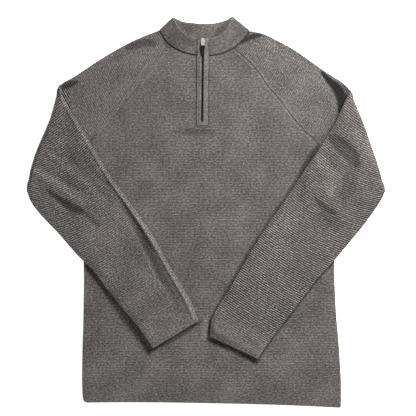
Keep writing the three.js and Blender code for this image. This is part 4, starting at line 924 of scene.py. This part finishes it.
def rods(name, places, length, width):
    """Small rounded rods in one mesh; a place is x, y and z in mm and the turn of its long side."""
    shares = (-0.5, -0.42, -0.2, 0.2, 0.42, 0.5)
    radii = np.array([0.3, 0.8, 1, 1, 0.8, 0.3]) * width / 2
    sides = 6
    points, faces = [], []
    for x, y, z, turn in places:
        start = len(points)
        cos, sin = math.cos(turn), math.sin(turn)
        for share, radius in zip(shares, radii):
            for k in range(sides):
                angle = 2 * math.pi * k / sides
                along, aside = share * length, radius * math.cos(angle)
                points.append((x + along * cos - aside * sin, y + along * sin + aside * cos,
                               z + radius * math.sin(angle)))
        for ring in range(len(shares) - 1):
            for k in range(sides):
                a, b = start + ring * sides + k, start + ring * sides + (k + 1) % sides
                faces.append((a, a + sides, b + sides, b))
        faces.append(tuple(range(start, start + sides)))
        faces.append(tuple(reversed(range(len(points) - sides, len(points)))))
    points = np.array(points) * 0.001
    return new_piece(name, points, faces, points[:, :2])


def fine_grained(name, dark, pale, scale, detail, constants, roughness=None, depth=None):
    """A hard finish: a fine grain in its colour and, where given, in its gloss and surface."""
    material, tree, shader = new_material(name, constants)
    grain = noise(tree, node(tree, "ShaderNodeTexCoord").outputs["Object"], scale, detail, dimensions="3D")
    fill(tree, shader, {"Base Color": mixed(tree, grain, (*dark, 1), (*pale, 1))})
    if roughness:
        low, more = roughness
        bump = node(tree, "ShaderNodeBump", {"Distance": depth, "Height": grain})
        gloss = sums(tree, "MULTIPLY_ADD", grain, more, low)
        fill(tree, shader, {"Roughness": gloss, "Normal": bump.outputs[0]})
    return material


coil_places = []
for k in range(int((coil_high - coil_low) / coil_pitch)):
    for side in (-1, 1):
        y = coil_low + coil_pitch * (k + (0.5 if side > 0 else 0))
        coil_places.append((float(zip_x(y)) + side * 0.55, y, coil_height, 0.12 * side))
coil = rods("zip_coil", coil_places, 2.2, 0.62)
moulded = fine_grained("moulded coil", (0.003, 0.003, 0.0034), (0.009, 0.009, 0.01), 1500, 2,
                       {"Roughness": 0.42, "Specular IOR Level": 0.16})
coil.data.materials.append(moulded)
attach(coil, "garment")

# Zip band
# A narrow strip of plain fine knit, folded and sewn round the zip as a U with a rounded foot.
# It is a shade paler than the body and stands a little proud between two sewn grooves.
slot_half_width = 1.8
band_foot = 7.6
band_under, band_thick = 4.7, 1.9
band_width = band_half_width - slot_half_width
band_tones = (0.06, 0.054, 0.05), (0.14, 0.128, 0.118), (0.28, 0.262, 0.246)
band_knit = knitwear("band knit", band_tones, 0.0019, 0.0016, 0.3, 0.5, 0.0003, 0.4)


def band_strip():
    """The strip as rows across it, down the left side, round the foot and up the right side."""
    bottom_y = zip_foot[1] + band_foot + slot_half_width
    heights = np.linspace(zip_top[1], bottom_y + 4, 60)
    near = [(float(zip_x(y)) - slot_half_width, y) for y in heights]
    far = [(float(zip_x(y)) - band_half_width, y) for y in heights]
    middle = float(zip_x(bottom_y))
    for k in range(33):
        cos, sin = math.cos(math.pi * (1 + k / 32)), math.sin(math.pi * (1 + k / 32))
        corner = 0 if k == 16 else math.copysign(band_half_width - band_corner, k - 16)
        near.append((middle + slot_half_width * cos, bottom_y + slot_half_width * sin))
        far.append((middle + corner + band_corner * cos, zip_foot[1] + band_corner + band_corner * sin))
    near += [(float(zip_x(y)) + slot_half_width, y) for y in heights[::-1]]
    far += [(float(zip_x(y)) + band_half_width, y) for y in heights[::-1]]
    near, far = np.array(near), np.array(far)
    across = np.array([0, 0.03, 0.08, 0.16, 0.28, 0.4, 0.5, 0.6, 0.72, 0.84, 0.92, 0.97, 1])
    crown = np.array([0.25, 0.55, 0.78, 0.95, 1.02, 0.98, 0.93, 0.98, 1.02, 0.95, 0.78, 0.55, 0.25])
    centre = (near + far) / 2
    walked = np.concatenate([[0], np.cumsum(np.hypot(*np.diff(centre, axis=0).T))])
    # Painted shade in the sewn grooves at both edges, in the middle groove and on the left half, and a
    # painted highlight on the right half
    seam_groove_shade = 0.35 * (1 - ease(0, 0.08, across)) + 1.1 * ease(0.8, 0.99, across)
    middle_groove_shade = 0.5 * np.exp(-((across - 0.5) / 0.07) ** 2)
    rows = []
    for a, b, wale in zip(near, far, walked):
        p = a + (b - a) * across[:, None]
        outer, inner = (np.concatenate([p, (band_under + proud)[:, None]], -1)
                        for proud in (band_thick * crown, 0 * crown))
        left_shade_right_highlight = 0.45 * (1 - ease(-3, 3, p[:, 0] - zip_x(p[:, 1]))) - 0.3
        rows.append((outer, inner, across * band_width, wale, 1, seam_groove_shade + left_shade_right_highlight + middle_groove_shade))
    return rows


band = cloth_piece("zip_band_knit", band_strip())
band.data.materials.append(band_knit)
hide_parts("zip_band")
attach(band, "garment")

# Fashioning marks
# Slanted loops on both sides of each raglan seam, where stitches were moved to shape the shoulder.
# They are the same yarn, proud of the cloth, and coloured paler as a painted highlight on their raised loops.
mark_tones = (0.11, 0.10, 0.095), (0.25, 0.23, 0.22), (0.4, 0.38, 0.36)
mark_knit = knitwear("mark yarn", mark_tones, 0.0021, 0.0017, 0.2, 0.3, 0.0002, 0.2)


def seam_marks(table, rows, top_rows, lowest):
    """Places of the slanted loops beside one seam, in more rows near the neck."""
    line = Edge(table)
    places = []
    for d in np.arange(8, line.length - 8, 3.4):
        p, q = line.at(d / line.length), line.at((d + 1) / line.length)
        if p[1] < lowest:
            continue
        along = math.atan2(q[1] - p[1], q[0] - p[0])
        for n, away in enumerate(top_rows if p[1] > 245 else rows):
            shift = 1.7 * (n % 2)
            x = p[0] + shift * math.cos(along) - away * math.sin(along)
            y = p[1] + shift * math.sin(along) + away * math.cos(along)
            places.append((x, y, front_lies + cloth + 0.02, along + math.copysign(0.7, away)))
    return places


for name, table, rows, top_rows, lowest in (
        ("left", raglan_front_left, (-2.5, 0.1, 2.7), (-7.5, -5, -2.5, 0.1, 2.7, 5.2, 7.7), 148),
        ("right", raglan_front_right, (-4.6, -2.3, 2.3, 4.6), (-4.6, -2.3, 2.3, 4.6), 140)):
    marks = rods(f"raglan_marks_{name}", seam_marks(table, rows, top_rows, lowest), 2.6, 1.5)
    marks.data.materials.append(mark_knit)
    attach(marks, "garment")

# Slider and pull
# The slider and the link are cast and polished metal, and the tab is soft black plastic.
# The link hangs on the slider's bridge, and the tab hangs on the link.
metal = fine_grained("polished zip metal", (0.82, 0.79, 0.74), (0.97, 0.95, 0.91), 900, 4, {"Metallic": 1},
                     (0.24, 0.25), 0.00003)
rubber = fine_grained("soft black plastic", (0.003, 0.003, 0.0034), (0.008, 0.008, 0.0085), 2600, 2,
                      {"Specular IOR Level": 0.14}, (0.45, 0.2), 0.00004)
for name, finish in (("zip_slider", metal), ("pull_link", metal), ("pull_tab", rubber)):
    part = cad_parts[name]
    part.data.materials.clear()
    part.data.materials.append(finish)

# Table
# A plain white surface under the garment, wide enough to fill the picture from any side.
# It gives off a little light of its own, which keeps it white in the picture.
bpy.ops.mesh.primitive_plane_add(size=12, location=(0, 0, -0.0002))
table = bpy.context.object
table.name = "table"
white = new_material("white table", {"Base Color": (0.93, 0.93, 0.93, 1), "Roughness": 0.9,
                                     "Emission Color": (1, 1, 1, 1), "Emission Strength": 0.85})[0]
table.data.materials.append(white)

# Studio light
# One large soft light from the upper right, a weak fill from the left and an even pale sky.
lamps = (("key light", (0.86, 0.95, 1.1), 0.42, 42), ("fill light", (1.4, -1.4, 1.6), 1.5, 14))
for name, spot, size, power in lamps:
    lamp = bpy.data.lights.new(name, "AREA")
    lamp.size = size
    lamp.energy = power
    holder = bpy.data.objects.new(name, lamp)
    holder.location = spot
    holder.rotation_euler = Vector(spot).to_track_quat("Z", "Y").to_euler()
    bpy.context.collection.objects.link(holder)
sky = bpy.data.worlds.new("pale sky")
sky.use_nodes = True
sky.node_tree.nodes["Background"].inputs["Color"].default_value = (1, 1, 1, 1)
sky.node_tree.nodes["Background"].inputs["Strength"].default_value = 0.26
bpy.context.scene.world = sky
bpy.context.scene.view_settings.view_transform = "Standard"
